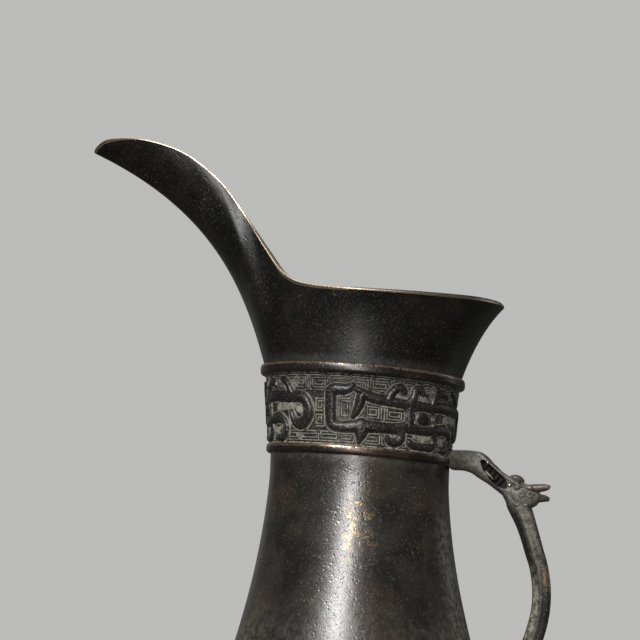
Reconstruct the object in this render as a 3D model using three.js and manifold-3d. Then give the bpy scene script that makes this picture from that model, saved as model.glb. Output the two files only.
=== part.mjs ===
// Three-legged bronze wine vessel with an upswept spout and a beast-head handle.
// Millimetres, +Z up. The spout points along -X, the handle along +X, and the vessel's axis is
// vertical. The pieces are cast apart, stacked on stepped seats and held by rivets and tenons.
import * as THREE from "three";
import { mergeVertices } from "three/addons/utils/BufferGeometryUtils.js";
import Module from "manifold-3d";

const wasm = await Module();
wasm.setup();

// Fits
const GAP = 0.3; // clearance between neighbouring pieces
const ROUND_STEPS = 48; // sides of the large round pieces

// Heights on the vessel's axis, from the ground up
const BELLY_UNDERSIDE = 55;
const NECK_TOP = 173.9; // the belly and neck casting ends here, and the ring sits on it
const LOWER_RING_HEIGHT = 2.9;
const BAND_HEIGHT = 23.2;
const UPPER_RING_HEIGHT = 3.4;
const RINGS_DROP = 0.045; // the rings slope down towards the handle by this much per millimetre
const DROP_STARTS = 61.9; // this far below the neck's top nothing slopes yet
const DROP_FULL = 5.9; // and this far below it the slope is full

// Radii and walls of the belly and the neck
const BELLY_RADIUS = 47;
const NECK_RADIUS = 30.4;
const WALL = 3.2;
const BAND_RADIUS_BOTTOM = NECK_RADIUS + 0.8;
const BAND_RADIUS_TOP = NECK_RADIUS + 2.7;
const LOWER_RING_RADIUS = NECK_RADIUS + 1.5;
const UPPER_RING_RADIUS = NECK_RADIUS + 4.5;
const SPIGOT_WALL = 1.5;
const SPIGOT_HEIGHT = 8;

// The inserted base
const BASE_HOLE_RADIUS = 19;
const BASE_SEAT = 4; // width of the ledge that the plate rests on
const BASE_LEDGE = 2.5;
const BASE_PLATE_THICKNESS = 2.4;

// The collar and spout, measured beyond the collar's foot
const COLLAR_FOOT_RADIUS = NECK_RADIUS + 3.2;
const RIM_FLARE_BACK = 14.1;
const RIM_FLARE_SIDE = 4.4;
const SPOUT_LENGTH = 63.1;
const SPOUT_RISE = 74;
const COLLAR_WALL = 3;
const LIP_WALL = 2;

// The three legs
const LEG_COUNT = 3;
const FOOT_CIRCLE = 46.5; // radius of the circle through the middle of the feet
const LEG_OVERLAP = 19; // how far the leg's root climbs up the belly
const LEG_ROOT_INSET = 9; // from the belly's widest radius in to the middle of the root
const LEG_TOP_HALF_WIDTH = 8.6;
const FOOT_HALF_WIDTH = 4.2;
const LEG_TOP_DEPTH = 17;
const FOOT_DEPTH = 8.4;
const CORE_BOTTOM = 10;
const CORE_BELOW_BELLY = 5;
const CORE_SHARE = 0.5; // part of the leg's width and depth that the clay core takes

// Rivets
const RIVET_RADIUS = 1.8;
const RIVET_HEAD_RADIUS = 3.6;
const RIVET_HEAD_HEIGHT = 1.6;
const LEG_RIVET_RISE = 8; // above the belly's underside
const LEG_RIVET_BITE = 6.5;
const FOOT_RIVET_RISE = 41; // above the belly's underside
const FOOT_RIVET_BITE = 4;

// The handle
const STRAP_BOW = 15.4; // from the belly's widest radius to the middle of the strap
const STRAP_WIDTH = 9;
const STRAP_THICKNESS = 6;
const STRAP_CHAMFER = 1.9;
const STRAP_FOOT_RADIUS = 7.4;
const STRAP_FOOT_THICKNESS = 4.4;
const HEAD_WIDTH = 12;
const HEAD_BELOW_RING = 7.9; // from the neck's top down to the middle of the beast head
const HEAD_REACH = 21.1; // from the lower ring out to the middle of the beast head
const BRACKET_WIDTH = 8;
const BRACKET_TENON_WIDTH = 5;
const BRACKET_TENON_HEIGHT = 4;
const PEG_RADIUS = 1.5;
const PEG_LENGTH = 4;
const STRAP_TENON_LENGTH = 5;
const HORN_LENGTH = 9;
const HORN_RADIUS = 1.15;
const HORN_PEG_RADIUS = 0.7;
const HORN_PEG_LENGTH = 2.2;
const HORN_SPACING = 3.4; // from the head's middle plane

// Heights and radii that follow from the values above
const BAND_BOTTOM = NECK_TOP + LOWER_RING_HEIGHT;
const BAND_TOP = BAND_BOTTOM + BAND_HEIGHT;
const COLLAR_FOOT = BAND_TOP + UPPER_RING_HEIGHT;
const NECK_BORE = NECK_RADIUS - WALL;
const SPIGOT_RADIUS = NECK_BORE + SPIGOT_WALL;
const RING_BORE = SPIGOT_RADIUS + GAP;
const BASE_PLATE_RADIUS = BASE_HOLE_RADIUS + BASE_SEAT;
const LEG_TOP = BELLY_UNDERSIDE + LEG_OVERLAP;
const LEG_TOP_CIRCLE = BELLY_RADIUS - LEG_ROOT_INSET;
const CORE_TOP = BELLY_UNDERSIDE - CORE_BELOW_BELLY;
const LEG_RIVET_HEIGHT = BELLY_UNDERSIDE + LEG_RIVET_RISE;
const FOOT_RIVET_HEIGHT = BELLY_UNDERSIDE + FOOT_RIVET_RISE;
const HANDLE_REACH = BELLY_RADIUS + STRAP_BOW;
const HEAD_HEIGHT = NECK_TOP - HEAD_BELOW_RING;
const HANDLE_ROOT = LOWER_RING_RADIUS;

const bronze = (color, roughness) => {
  return new THREE.MeshStandardMaterial({ color, roughness, metalness: 0.85 });
};
const PATINA = bronze(0x2b241e, 0.42);
const BAND_PATINA = bronze(0x34302a, 0.55);
const HANDLE_BRONZE = bronze(0x4a4238, 0.5);
const RIVET_COPPER = bronze(0x6a4a32, 0.45);
const CLAY = new THREE.MeshStandardMaterial({ color: 0x6b5a48, roughness: 0.95, metalness: 0 });

const vessel = new THREE.Group();

function addPiece(name, geometry, material) {
  const mesh = new THREE.Mesh(geometry, material);
  mesh.name = name;
  vessel.add(mesh);
}

// Turns a closed geometry into a solid for joining and cutting, with its faces pointing out.
function solidFrom(geometry) {
  const bare = geometry.index ? geometry.toNonIndexed() : geometry.clone();
  bare.deleteAttribute("normal");
  bare.deleteAttribute("uv");
  const merged = mergeVertices(bare, 1e-4);
  const vertProperties = new Float32Array(merged.attributes.position.array);
  const triVerts = new Uint32Array(merged.index.array);
  return new wasm.Manifold(new wasm.Mesh({ numProp: 3, vertProperties, triVerts }));
}

function geometryFrom(solid) {
  const mesh = solid.getMesh();
  const geometry = new THREE.BufferGeometry();
  geometry.setAttribute("position", new THREE.BufferAttribute(mesh.vertProperties, 3));
  geometry.setIndex(new THREE.BufferAttribute(mesh.triVerts, 1));
  return geometry;
}

// Six times the signed volume of a closed list of triangles.
function signedVolume(points, triangles) {
  const cross = new THREE.Vector3();
  let sum = 0;
  for (let i = 0; i < triangles.length; i += 3) {
    cross.crossVectors(points[triangles[i + 1]], points[triangles[i + 2]]);
    sum += points[triangles[i]].dot(cross);
  }
  return sum;
}

// Closed skin over a row of loops that all have the same number of points. A ring joins its last
// loop to its first, and any other skin is capped at both ends.
function skin(loops, isRing = false) {
  const sides = loops[0].length;
  const points = loops.flat();
  const triangles = [];
  const bands = isRing ? loops.length : loops.length - 1;
  for (let row = 0; row < bands; row++) {
    const next = (row + 1) % loops.length;
    for (let side = 0; side < sides; side++) {
      const after = (side + 1) % sides;
      const a = row * sides + side;
      const b = row * sides + after;
      const c = next * sides + after;
      const d = next * sides + side;
      triangles.push(a, b, c, a, c, d);
    }
  }
  if (!isRing) {
    const last = (loops.length - 1) * sides;
    for (let side = 1; side < sides - 1; side++) {
      triangles.push(0, side + 1, side);
      triangles.push(last, last + side, last + side + 1);
    }
  }
  if (signedVolume(points, triangles) < 0) triangles.reverse();
  const geometry = new THREE.BufferGeometry().setFromPoints(points);
  geometry.setIndex(triangles);
  return geometry;
}

// Solid of revolution about the vessel's axis, from [radius, height] points listed upwards on
// the outside. The outline closes on itself unless it starts and ends on the axis.
function turned(outline, steps = ROUND_STEPS) {
  const points = outline.map(([radius, height]) => new THREE.Vector2(radius, height));
  const onAxis = outline[0][0] === 0 && outline.at(-1)[0] === 0;
  if (!onAxis) points.push(points[0].clone());
  return new THREE.LatheGeometry(points, steps).rotateX(Math.PI / 2);
}

// Lets the neck, rings and collar slope gently down towards the handle.
function sloped(geometry) {
  const places = geometry.attributes.position;
  for (let i = 0; i < places.count; i++) {
    const height = places.getZ(i);
    const share = THREE.MathUtils.smoothstep(height, NECK_TOP - DROP_STARTS, NECK_TOP - DROP_FULL);
    places.setZ(i, height - RINGS_DROP * share * places.getX(i));
  }
  return geometry;
}

const dropAt = (x) => -RINGS_DROP * x;

// Outer outline of the belly and neck, as a smooth curve through a few turned radii
const bellyHeight = NECK_TOP - BELLY_UNDERSIDE;
const bellySwell = BELLY_RADIUS - NECK_RADIUS;
const BELLY_SHAPE = [
  [BASE_HOLE_RADIUS, 0],
  [BASE_HOLE_RADIUS + 5.5, 0.004],
  [NECK_RADIUS + bellySwell * 0.17, 0.031],
  [NECK_RADIUS + bellySwell * 0.61, 0.08],
  [NECK_RADIUS + bellySwell * 0.89, 0.15],
  [BELLY_RADIUS, 0.235],
  [NECK_RADIUS + bellySwell * 0.95, 0.31],
  [NECK_RADIUS + bellySwell * 0.78, 0.39],
  [NECK_RADIUS + bellySwell * 0.55, 0.492],
  [NECK_RADIUS + bellySwell * 0.3, 0.631],
  [NECK_RADIUS + bellySwell * 0.14, 0.753],
  [NECK_RADIUS + bellySwell * 0.04, 0.858],
  [NECK_RADIUS, 0.934],
  [NECK_RADIUS, 1],
];
const bellyCurve = new THREE.SplineCurve(
  BELLY_SHAPE.map(([radius, share]) => new THREE.Vector2(radius, BELLY_UNDERSIDE + share * bellyHeight)),
);

// Point of the belly's outer outline and its outward direction, at a height
function bellyAt(height) {
  const step = 1 / 400;
  for (let u = 0; u < 1 - step; u += step) {
    const here = bellyCurve.getPoint(u);
    const there = bellyCurve.getPoint(u + step);
    if (there.y >= height) {
      const along = there.clone().sub(here).normalize();
      return { radius: here.x, height: here.y, outX: along.y, outZ: -along.x };
    }
  }
  return { radius: NECK_RADIUS, height, outX: 1, outZ: 0 };
}

// The same outline moved along its own normals
function bellyOutline(offset, count) {
  const outline = [];
  for (let i = 0; i <= count; i++) {
    const u = i / count;
    const place = bellyCurve.getPoint(u);
    const along = bellyCurve.getTangent(u);
    outline.push([place.x + along.y * offset, place.y - along.x * offset]);
  }
  return outline;
}

// Everything the neck fills, grown by the clearance: pieces fixed on from outside are cut by it
function vesselCutter() {
  const belly = bellyOutline(GAP, 26);
  belly[0] = [0, BELLY_UNDERSIDE - GAP];
  const outline = [
    ...belly,
    [LOWER_RING_RADIUS + GAP, NECK_TOP],
    [LOWER_RING_RADIUS + GAP, BAND_BOTTOM + GAP],
    [BAND_RADIUS_BOTTOM + GAP, BAND_BOTTOM + 2 * GAP],
    [BAND_RADIUS_TOP + GAP, BAND_TOP],
    [0, BAND_TOP],
  ];
  return solidFrom(sloped(turned(outline)));
}
const wholeNeck = vesselCutter();

// A rod with a domed head: the head sits at the start and the shank runs along the direction
function rivetGeometry(headRadius, headHeight, shankRadius, shankLength) {
  const points = [
    [0, -headHeight],
    [headRadius * 0.6, -headHeight * 0.82],
    [headRadius * 0.92, -headHeight * 0.4],
    [headRadius, 0],
    [shankRadius, 0],
    [shankRadius, shankLength],
    [0, shankLength],
  ].map(([radius, height]) => new THREE.Vector2(radius, height));
  return new THREE.LatheGeometry(points, 12);
}

// Stands a shape that was made along +Y at a point, with its axis along a direction
function aimed(geometry, place, direction) {
  const turn = new THREE.Quaternion();
  turn.setFromUnitVectors(new THREE.Vector3(0, 1, 0), direction.clone().normalize());
  return geometry.applyQuaternion(turn).translate(place.x, place.y, place.z);
}

// Straight round hole from a point along a direction
function drill(radius, length, place, direction) {
  const rod = new THREE.CylinderGeometry(radius, radius, length, 12).translate(0, length / 2, 0);
  return solidFrom(aimed(rod, place, direction));
}

// How far the bowl's inner face curves up past a rivet head's flat underside
function bowlSag(seat) {
  const reach = RIVET_HEAD_RADIUS + GAP;
  const around = (reach * reach) / (2 * (seat.radius - WALL));
  const climb = reach * seat.outX;
  const above = bellyAt(seat.height + climb);
  const below = bellyAt(seat.height - climb);
  const rise = (edge) => (seat.radius - edge.radius) * seat.outX + (seat.height - edge.height) * seat.outZ;
  return Math.max(around, rise(above), rise(below));
}

// A rivet through the belly wall, in the plane that holds the axis and points along the turn
function bellyRivet(height, turn, bite) {
  const seat = bellyAt(height);
  const out = new THREE.Vector3(seat.outX * Math.cos(turn), seat.outX * Math.sin(turn), seat.outZ);
  const skinPoint = new THREE.Vector3(
    seat.radius * Math.cos(turn),
    seat.radius * Math.sin(turn),
    seat.height,
  );
  const standoff = GAP + bowlSag(seat);
  const start = skinPoint.clone().addScaledVector(out, -WALL - standoff);
  const length = WALL + standoff + bite;
  const shape = rivetGeometry(RIVET_HEAD_RADIUS, RIVET_HEAD_HEIGHT, RIVET_RADIUS, length);
  return {
    piece: aimed(shape, start, out),
    hole: drill(RIVET_RADIUS + GAP, length + 2 * GAP, start.clone().addScaledVector(out, -GAP), out),
  };
}

// Block between two corners
function block(low, high) {
  const size = high.clone().sub(low);
  const middle = low.clone().add(high).multiplyScalar(0.5);
  return new THREE.BoxGeometry(size.x, size.y, size.z).translate(middle.x, middle.y, middle.z);
}

// A side outline in the handle's plane, with a width across it
function slab(outline, width) {
  const shape = new THREE.Shape(outline.map(([x, z]) => new THREE.Vector2(x, z)));
  const geometry = new THREE.ExtrudeGeometry(shape, { depth: width, bevelEnabled: false });
  return geometry.rotateX(Math.PI / 2).translate(0, width / 2, 0);
}

// A plan outline that stands upright at the height of the beast head, taller than the head
const COLUMN_HEIGHT = 40;
function column(outline) {
  const shape = new THREE.Shape(outline.map(([x, y]) => new THREE.Vector2(x, y)));
  const geometry = new THREE.ExtrudeGeometry(shape, { depth: COLUMN_HEIGHT, bevelEnabled: false });
  return solidFrom(geometry.translate(0, 0, HEAD_HEIGHT - COLUMN_HEIGHT / 2));
}

// Rivets of the legs and of the handle's foot
const legTurns = Array.from({ length: LEG_COUNT }, (_, i) => (i * 2 * Math.PI) / LEG_COUNT);
const LEG_NAMES = ["back", "front_right", "front_left"];
const legRivets = legTurns.map((turn) => bellyRivet(LEG_RIVET_HEIGHT, turn, LEG_RIVET_BITE));
const footRivet = bellyRivet(FOOT_RIVET_HEIGHT, 0, FOOT_RIVET_BITE);

// The bracket's tenon passes through the ring and the neck wall behind it
const tenonHeight = NECK_TOP + LOWER_RING_HEIGHT / 2 + dropAt(HANDLE_ROOT);
function bracketTenon(clearance) {
  const halfWidth = BRACKET_TENON_WIDTH / 2 + clearance;
  const halfHeight = BRACKET_TENON_HEIGHT / 2 + clearance;
  const reach = HANDLE_ROOT + 3;
  return solidFrom(
    block(
      new THREE.Vector3(NECK_BORE - clearance * 4, -halfWidth, tenonHeight - halfHeight),
      new THREE.Vector3(reach, halfWidth, tenonHeight + halfHeight),
    ),
  );
}
const mortise = bracketTenon(GAP);

// Belly and neck in one casting: bowl below, and a spigot on top that centres ring and band
{
  const outside = bellyOutline(0, 26);
  const inside = bellyOutline(-WALL, 26)
    .filter(([radius, height]) => radius > BASE_PLATE_RADIUS + 2 * GAP && height < NECK_TOP - GAP)
    .reverse();
  const outline = [
    ...outside,
    [SPIGOT_RADIUS, NECK_TOP],
    [SPIGOT_RADIUS, NECK_TOP + SPIGOT_HEIGHT],
    [NECK_BORE, NECK_TOP + SPIGOT_HEIGHT],
    ...inside,
    [BASE_PLATE_RADIUS + GAP, BELLY_UNDERSIDE + BASE_LEDGE],
    [BASE_HOLE_RADIUS, BELLY_UNDERSIDE + BASE_LEDGE],
  ];
  let shell = solidFrom(sloped(turned(outline))).subtract(mortise);
  for (const rivet of [...legRivets, footRivet]) shell = shell.subtract(rivet.hole);
  addPiece("body_shell", geometryFrom(shell), PATINA);
}

// Base plate, dropped in from above on the ledge, with a boss that fills the casting hole
{
  const ledge = BELLY_UNDERSIDE + BASE_LEDGE + GAP;
  const boss = BASE_HOLE_RADIUS - GAP;
  const outline = [
    [0, BELLY_UNDERSIDE],
    [boss, BELLY_UNDERSIDE],
    [boss, ledge],
    [BASE_PLATE_RADIUS, ledge],
    [BASE_PLATE_RADIUS, ledge + BASE_PLATE_THICKNESS * 0.5],
    [BASE_PLATE_RADIUS - 2, ledge + BASE_PLATE_THICKNESS],
    [0, ledge + BASE_PLATE_THICKNESS],
  ];
  addPiece("base_plate", turned(outline), PATINA);
}

// Ring of rounded section that hides a seam
function bowstringRing(bottom, height, radius) {
  const low = bottom + GAP;
  const high = bottom + height;
  const outline = [
    [RING_BORE, low],
    [radius - height * 0.3, low],
    [radius, low + (high - low) * 0.3],
    [radius, low + (high - low) * 0.7],
    [radius - height * 0.3, high],
    [RING_BORE, high],
  ];
  return sloped(turned(outline));
}
const lowerRing = solidFrom(bowstringRing(NECK_TOP, LOWER_RING_HEIGHT, LOWER_RING_RADIUS));
addPiece("lower_bowstring_ring", geometryFrom(lowerRing.subtract(mortise)), PATINA);
addPiece("upper_bowstring_ring", bowstringRing(BAND_TOP, UPPER_RING_HEIGHT, UPPER_RING_RADIUS), PATINA);

// Band that carries the relief
{
  const outline = [
    [RING_BORE, BAND_BOTTOM + GAP],
    [BAND_RADIUS_BOTTOM, BAND_BOTTOM + GAP],
    [BAND_RADIUS_TOP, BAND_TOP],
    [RING_BORE, BAND_TOP],
  ];
  const band = solidFrom(sloped(turned(outline)));
  addPiece("neck_band", geometryFrom(band.subtract(mortise)), BAND_PATINA);
}

// Collar and spout. Each station is half of the rim's outline: the turn round the neck where its
// rib starts, then the rim point and the shoulder point below it. Reach is a share of the back or
// the spout's reach, aside of the half width and rise of the spout's rise.
const RIM_STATIONS = [
  { turn: 0, rim: [1, 0, 0.355], shoulder: [0.853, 0, 0.253] },
  { turn: 30, rim: [0.83, 0.566, 0.343], shoulder: [0.711, 0.489, 0.245] },
  { turn: 60, rim: [0.474, 0.882, 0.33], shoulder: [0.413, 0.771, 0.235] },
  { turn: 90, rim: [0.006, 1, 0.325], shoulder: [-0.003, 0.908, 0.221] },
  { turn: 115, rim: [-0.176, 0.86, 0.338], shoulder: [-0.168, 0.8, 0.223] },
  { turn: 130, rim: [-0.27, 0.65, 0.391], shoulder: [-0.264, 0.635, 0.26] },
  { turn: 142, rim: [-0.352, 0.45, 0.53], shoulder: [-0.342, 0.45, 0.337] },
  { turn: 152, rim: [-0.43, 0.36, 0.685], shoulder: [-0.42, 0.388, 0.45] },
  { turn: 161, rim: [-0.53, 0.345, 0.838], shoulder: [-0.462, 0.366, 0.6] },
  { turn: 168, rim: [-0.662, 0.33, 0.953], shoulder: [-0.483, 0.332, 0.662] },
  { turn: 174, rim: [-0.822, 0.285, 1.003], shoulder: [-0.506, 0.263, 0.679] },
  { turn: 178, rim: [-0.95, 0.168, 0.99], shoulder: [-0.533, 0.147, 0.7] },
  { turn: 180, rim: [-1, 0, 0.949], shoulder: [-0.545, 0, 0.709] },
];
const RIBS_PER_STATION = 2;
const RIB_ROWS = 11;

function rimPlace([reach, aside, rise], side) {
  const back = COLLAR_FOOT_RADIUS + RIM_FLARE_BACK;
  const front = COLLAR_FOOT_RADIUS + SPOUT_LENGTH;
  return new THREE.Vector3(
    reach * (reach > 0 ? back : front),
    side * aside * (COLLAR_FOOT_RADIUS + RIM_FLARE_SIDE),
    COLLAR_FOOT + rise * SPOUT_RISE,
  );
}

// All stations once round, the second half mirrored
const roundStations = [
  ...RIM_STATIONS.map((station) => ({ ...station, side: 1 })),
  ...RIM_STATIONS.slice(1, -1)
    .reverse()
    .map((station) => ({ ...station, turn: 360 - station.turn, side: -1 })),
];
const rimCurve = new THREE.CatmullRomCurve3(
  roundStations.map(({ rim, side }) => rimPlace(rim, side)),
  true,
  "catmullrom",
);
const shoulderCurve = new THREE.CatmullRomCurve3(
  roundStations.map(({ shoulder, side }) => rimPlace(shoulder, side)),
  true,
  "catmullrom",
);

function turnAt(place) {
  const index = Math.floor(place);
  const from = roundStations[index % roundStations.length].turn;
  const to = index + 1 >= roundStations.length ? 360 : roundStations[index + 1].turn;
  return THREE.MathUtils.degToRad(THREE.MathUtils.lerp(from, to, place - index));
}

// One rib of the collar's outer face, from the foot circle to the rim
function rib(place) {
  const turn = turnAt(place);
  const share = place / roundStations.length;
  const foot = new THREE.Vector3(Math.cos(turn), Math.sin(turn), 0).multiplyScalar(COLLAR_FOOT_RADIUS);
  foot.z = COLLAR_FOOT;
  const rim = rimCurve.getPoint(share);
  const lift = 0.27 * rim.distanceTo(foot);
  const lean = 0.21 + 0.11 * Math.cos(2 * turn);
  const start = foot.clone();
  start.x += Math.cos(turn) * lean * lift;
  start.y += Math.sin(turn) * lean * lift;
  start.z += lift;
  return new THREE.CubicBezierCurve3(foot, start, shoulderCurve.getPoint(share), rim);
}

// Outer face and inner face at one place on the collar
function collarPoint(place, climb) {
  return rib(place).getPoint(climb);
}

function collarInside(place, climb) {
  const step = 0.02;
  const count = roundStations.length;
  const across = collarPoint((place + step) % count, climb).sub(
    collarPoint((place - step + count) % count, climb),
  );
  const up = rib(place).getTangent(climb);
  const out = across.cross(up).normalize();
  const wall = THREE.MathUtils.lerp(COLLAR_WALL, LIP_WALL, climb);
  return collarPoint(place, climb).addScaledVector(out, -wall);
}

{
  const count = roundStations.length * RIBS_PER_STATION;
  const places = Array.from({ length: count }, (_, i) => i / RIBS_PER_STATION);
  const circle = (radius, height) =>
    places.map((place) => {
      const turn = turnAt(place);
      return new THREE.Vector3(radius * Math.cos(turn), radius * Math.sin(turn), height);
    });
  const loops = [];
  for (let row = 0; row <= RIB_ROWS; row++) {
    loops.push(places.map((place) => collarPoint(place, row / RIB_ROWS)));
  }
  for (let row = RIB_ROWS; row >= 1; row--) {
    loops.push(places.map((place) => collarInside(place, row / RIB_ROWS)));
  }
  loops.push(circle(NECK_BORE, COLLAR_FOOT + 2 * GAP));
  loops.push(circle(NECK_BORE, COLLAR_FOOT - SPIGOT_HEIGHT));
  loops.push(circle(SPIGOT_RADIUS, COLLAR_FOOT - SPIGOT_HEIGHT));
  loops.push(circle(SPIGOT_RADIUS, COLLAR_FOOT + GAP));
  const collar = skin(loops, true);
  const places3 = collar.attributes.position;
  for (let i = 0; i < count; i++) places3.setZ(i, COLLAR_FOOT + GAP);
  addPiece("collar_and_spout", sloped(collar), PATINA);
}

// Legs of ridged section. Stations run down the leg: height share, then how far the leg has
// swung out and how far it has narrowed.
const LEG_STATIONS = [
  [1, 0, 0],
  [0.8, 0.12, 0.16],
  [0.6, 0.28, 0.42],
  [0.4, 0.42, 0.66],
  [0.2, 0.58, 0.88],
  [0.07, 0.84, 0.98],
  [0, 1, 1],
];

function legLoop([heightShare, swing, taper]) {
  const middle = THREE.MathUtils.lerp(LEG_TOP_CIRCLE, FOOT_CIRCLE, swing);
  const half = THREE.MathUtils.lerp(LEG_TOP_HALF_WIDTH, FOOT_HALF_WIDTH, taper);
  const depth = THREE.MathUtils.lerp(LEG_TOP_DEPTH, FOOT_DEPTH, taper);
  const back = -depth * 0.42;
  const ridge = depth * 0.58;
  const height = heightShare * LEG_TOP;
  return [
    [back, -0.72 * half],
    [back, 0.72 * half],
    [back * 0.45, half],
    [ridge, 0.2 * half],
    [ridge, -0.2 * half],
    [back * 0.45, -half],
  ].map(([out, across]) => new THREE.Vector3(middle + out, across, height));
}

// Channel on the inner side of a leg, for the clay core
function coreLoop([heightShare, swing, taper], clearance) {
  const middle = THREE.MathUtils.lerp(LEG_TOP_CIRCLE, FOOT_CIRCLE, swing);
  const half = CORE_SHARE * THREE.MathUtils.lerp(LEG_TOP_HALF_WIDTH, FOOT_HALF_WIDTH, taper) - clearance;
  const depth = THREE.MathUtils.lerp(LEG_TOP_DEPTH, FOOT_DEPTH, taper);
  const back = middle - depth * 0.42;
  const floor = back + depth * CORE_SHARE - clearance;
  const height = heightShare * LEG_TOP;
  return [
    new THREE.Vector3(back - depth, -half, height),
    new THREE.Vector3(back - depth, half, height),
    new THREE.Vector3(floor, half, height),
    new THREE.Vector3(floor, -half, height),
  ];
}

function coreSolid(clearance) {
  const reach = [CORE_TOP - clearance, CORE_BOTTOM + clearance];
  const slice = block(
    new THREE.Vector3(0, -LEG_TOP_DEPTH, reach[1]),
    new THREE.Vector3(2 * FOOT_CIRCLE, LEG_TOP_DEPTH, reach[0]),
  );
  const channel = skin(LEG_STATIONS.map((station) => coreLoop(station, clearance)));
  return solidFrom(channel).intersect(solidFrom(slice));
}

legTurns.forEach((turn, i) => {
  const name = LEG_NAMES[i];
  const blank = solidFrom(skin(LEG_STATIONS.map(legLoop)));
  const place = (solid) => solidFrom(geometryFrom(solid).rotateZ(turn));
  const leg = place(blank.subtract(coreSolid(0))).subtract(wholeNeck).subtract(legRivets[i].hole);
  addPiece("leg_" + name, geometryFrom(leg), PATINA);
  addPiece("leg_core_" + name, geometryFrom(place(blank.intersect(coreSolid(GAP)))), CLAY);
  addPiece("leg_rivet_" + name, legRivets[i].piece, RIVET_COPPER);
});

// Beast head in the handle's plane, placed from the middle of the head
const headX = (x) => HANDLE_ROOT + HEAD_REACH + x;
const headZ = (z) => HEAD_HEIGHT + z;
const HEAD_SIDE = [
  [-12.3, 12],
  [-9.8, 9.9],
  [-5.6, 6.4],
  [-2.3, 4.2],
  [-1.2, 5.2],
  [0.9, 5],
  [2.4, 2.7],
  [5, 1.4],
  [5.3, -1.6],
  [11.4, -1.9],
  [11.9, -3.6],
  [10.6, -4.6],
  [4.8, -6.1],
  [4.2, -7.6],
  [-2.3, -5.2],
  [-4.7, -1.9],
  [-9.2, 1.2],
  [-13.3, 4.1],
];
const SNOUT_START = HEAD_SIDE[0][0];
const HEAD_PLAN = [
  [SNOUT_START - 2, -0.34],
  [-7, -0.36],
  [-2, -0.42],
  [2.5, -0.5],
  [13, -0.5],
  [13, 0.5],
  [2.5, 0.5],
  [-2, 0.42],
  [-7, 0.36],
  [SNOUT_START - 2, 0.34],
];
const MOUTH = [
  [-11.2, 7.2],
  [-9.4, 8.4],
  [-6.6, 5],
  [-3.4, 2],
  [-2.4, 0.4],
  [-4, -0.9],
  [-6.4, 0.6],
  [-9.2, 3.6],
];
const TONGUE_WIDTH = 3;

// Bracket between the neck and the jaws
const BRACKET_SIDE = [
  [HANDLE_ROOT - 6, 12.5],
  [headX(-12.6), 12.4],
  [headX(-13.6), 4.4],
  [headX(-15.6), 4.9],
  [headX(-18.8), 5.9],
  [HANDLE_ROOT - 6, 6.1],
];
const BRACKET_ROOT_WIDTH = 18;
const BRACKET_PLAN = [
  [HANDLE_ROOT - 6, BRACKET_ROOT_WIDTH / 2],
  [HANDLE_ROOT - 0.8, BRACKET_ROOT_WIDTH / 2],
  [HANDLE_ROOT + 1.2, BRACKET_ROOT_WIDTH / 2 - 2.6],
  [HANDLE_ROOT + 4.5, BRACKET_WIDTH / 2 + 0.4],
  [headX(-11), BRACKET_WIDTH / 2],
];
const pegStart = new THREE.Vector3(headX(-14.5), 0, headZ(8.3));
const pegAlong = new THREE.Vector3(1, 0, -0.32).normalize();
const pegReach = PEG_LENGTH + 1.4;

// Strap: a bowed bar from the socket under the head to the pad on the belly
const strapFoot = bellyAt(FOOT_RIVET_HEIGHT);
const strapTop = HEAD_HEIGHT - 7;
const strapEnd = FOOT_RIVET_HEIGHT - 5;
const strapHeight = (share) => THREE.MathUtils.lerp(strapTop, strapEnd, share);
const strapPath = new THREE.CatmullRomCurve3(
  [
    [headX(2.2), 0],
    [headX(4.8), 0.125],
    [HANDLE_REACH - 1.4, 0.279],
    [HANDLE_REACH, 0.441],
    [HANDLE_REACH - 2.1, 0.61],
    [HANDLE_REACH - 0.44 * STRAP_BOW, 0.772],
    [strapFoot.radius + 4.4, 0.897],
    [strapFoot.radius, 1],
  ].map(([x, share]) => new THREE.Vector3(x, 0, strapHeight(share))),
);

function strapSection(thickness, width, chamfer) {
  const t = thickness / 2;
  const w = width / 2;
  return [
    [t, -w + chamfer * 0.5],
    [t, w - chamfer * 0.5],
    [t - chamfer * 0.5, w],
    [-t + chamfer, w],
    [-t, w - chamfer],
    [-t, -w + chamfer],
    [-t + chamfer, -w],
    [t - chamfer * 0.5, -w],
  ];
}

function sweptBar(curve, from, to, steps, section) {
  const loops = [];
  for (let i = 0; i <= steps; i++) {
    const u = THREE.MathUtils.lerp(from, to, i / steps);
    const middle = curve.getPointAt(u);
    const along = curve.getTangentAt(u);
    loops.push(
      section.map(([out, across]) => new THREE.Vector3(
        middle.x - along.z * out,
        across,
        middle.z + along.x * out,
      )),
    );
  }
  return skin(loops);
}

// Tenon on the strap's top end, which the head's socket takes
function strapTenon(clearance) {
  const top = strapPath.getPointAt(0);
  const along = strapPath.getTangentAt(0);
  const half = new THREE.Vector3(
    STRAP_THICKNESS / 2 - 1.2 + clearance,
    STRAP_WIDTH / 2 - 2 + clearance,
    STRAP_TENON_LENGTH / 2 + 1 + clearance,
  );
  const bar = block(half.clone().negate(), half);
  bar.rotateY(Math.atan2(along.x, along.z) + Math.PI);
  const centre = top.addScaledVector(along, 1 - STRAP_TENON_LENGTH / 2);
  return solidFrom(bar.translate(centre.x, centre.y, centre.z));
}

// Horns splay back and outwards from holes in the head
function hornLine(side) {
  return {
    start: new THREE.Vector3(headX(4), side * HORN_SPACING, headZ(0.6)),
    along: new THREE.Vector3(1, side * 0.16, 0.02).normalize(),
  };
}

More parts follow.
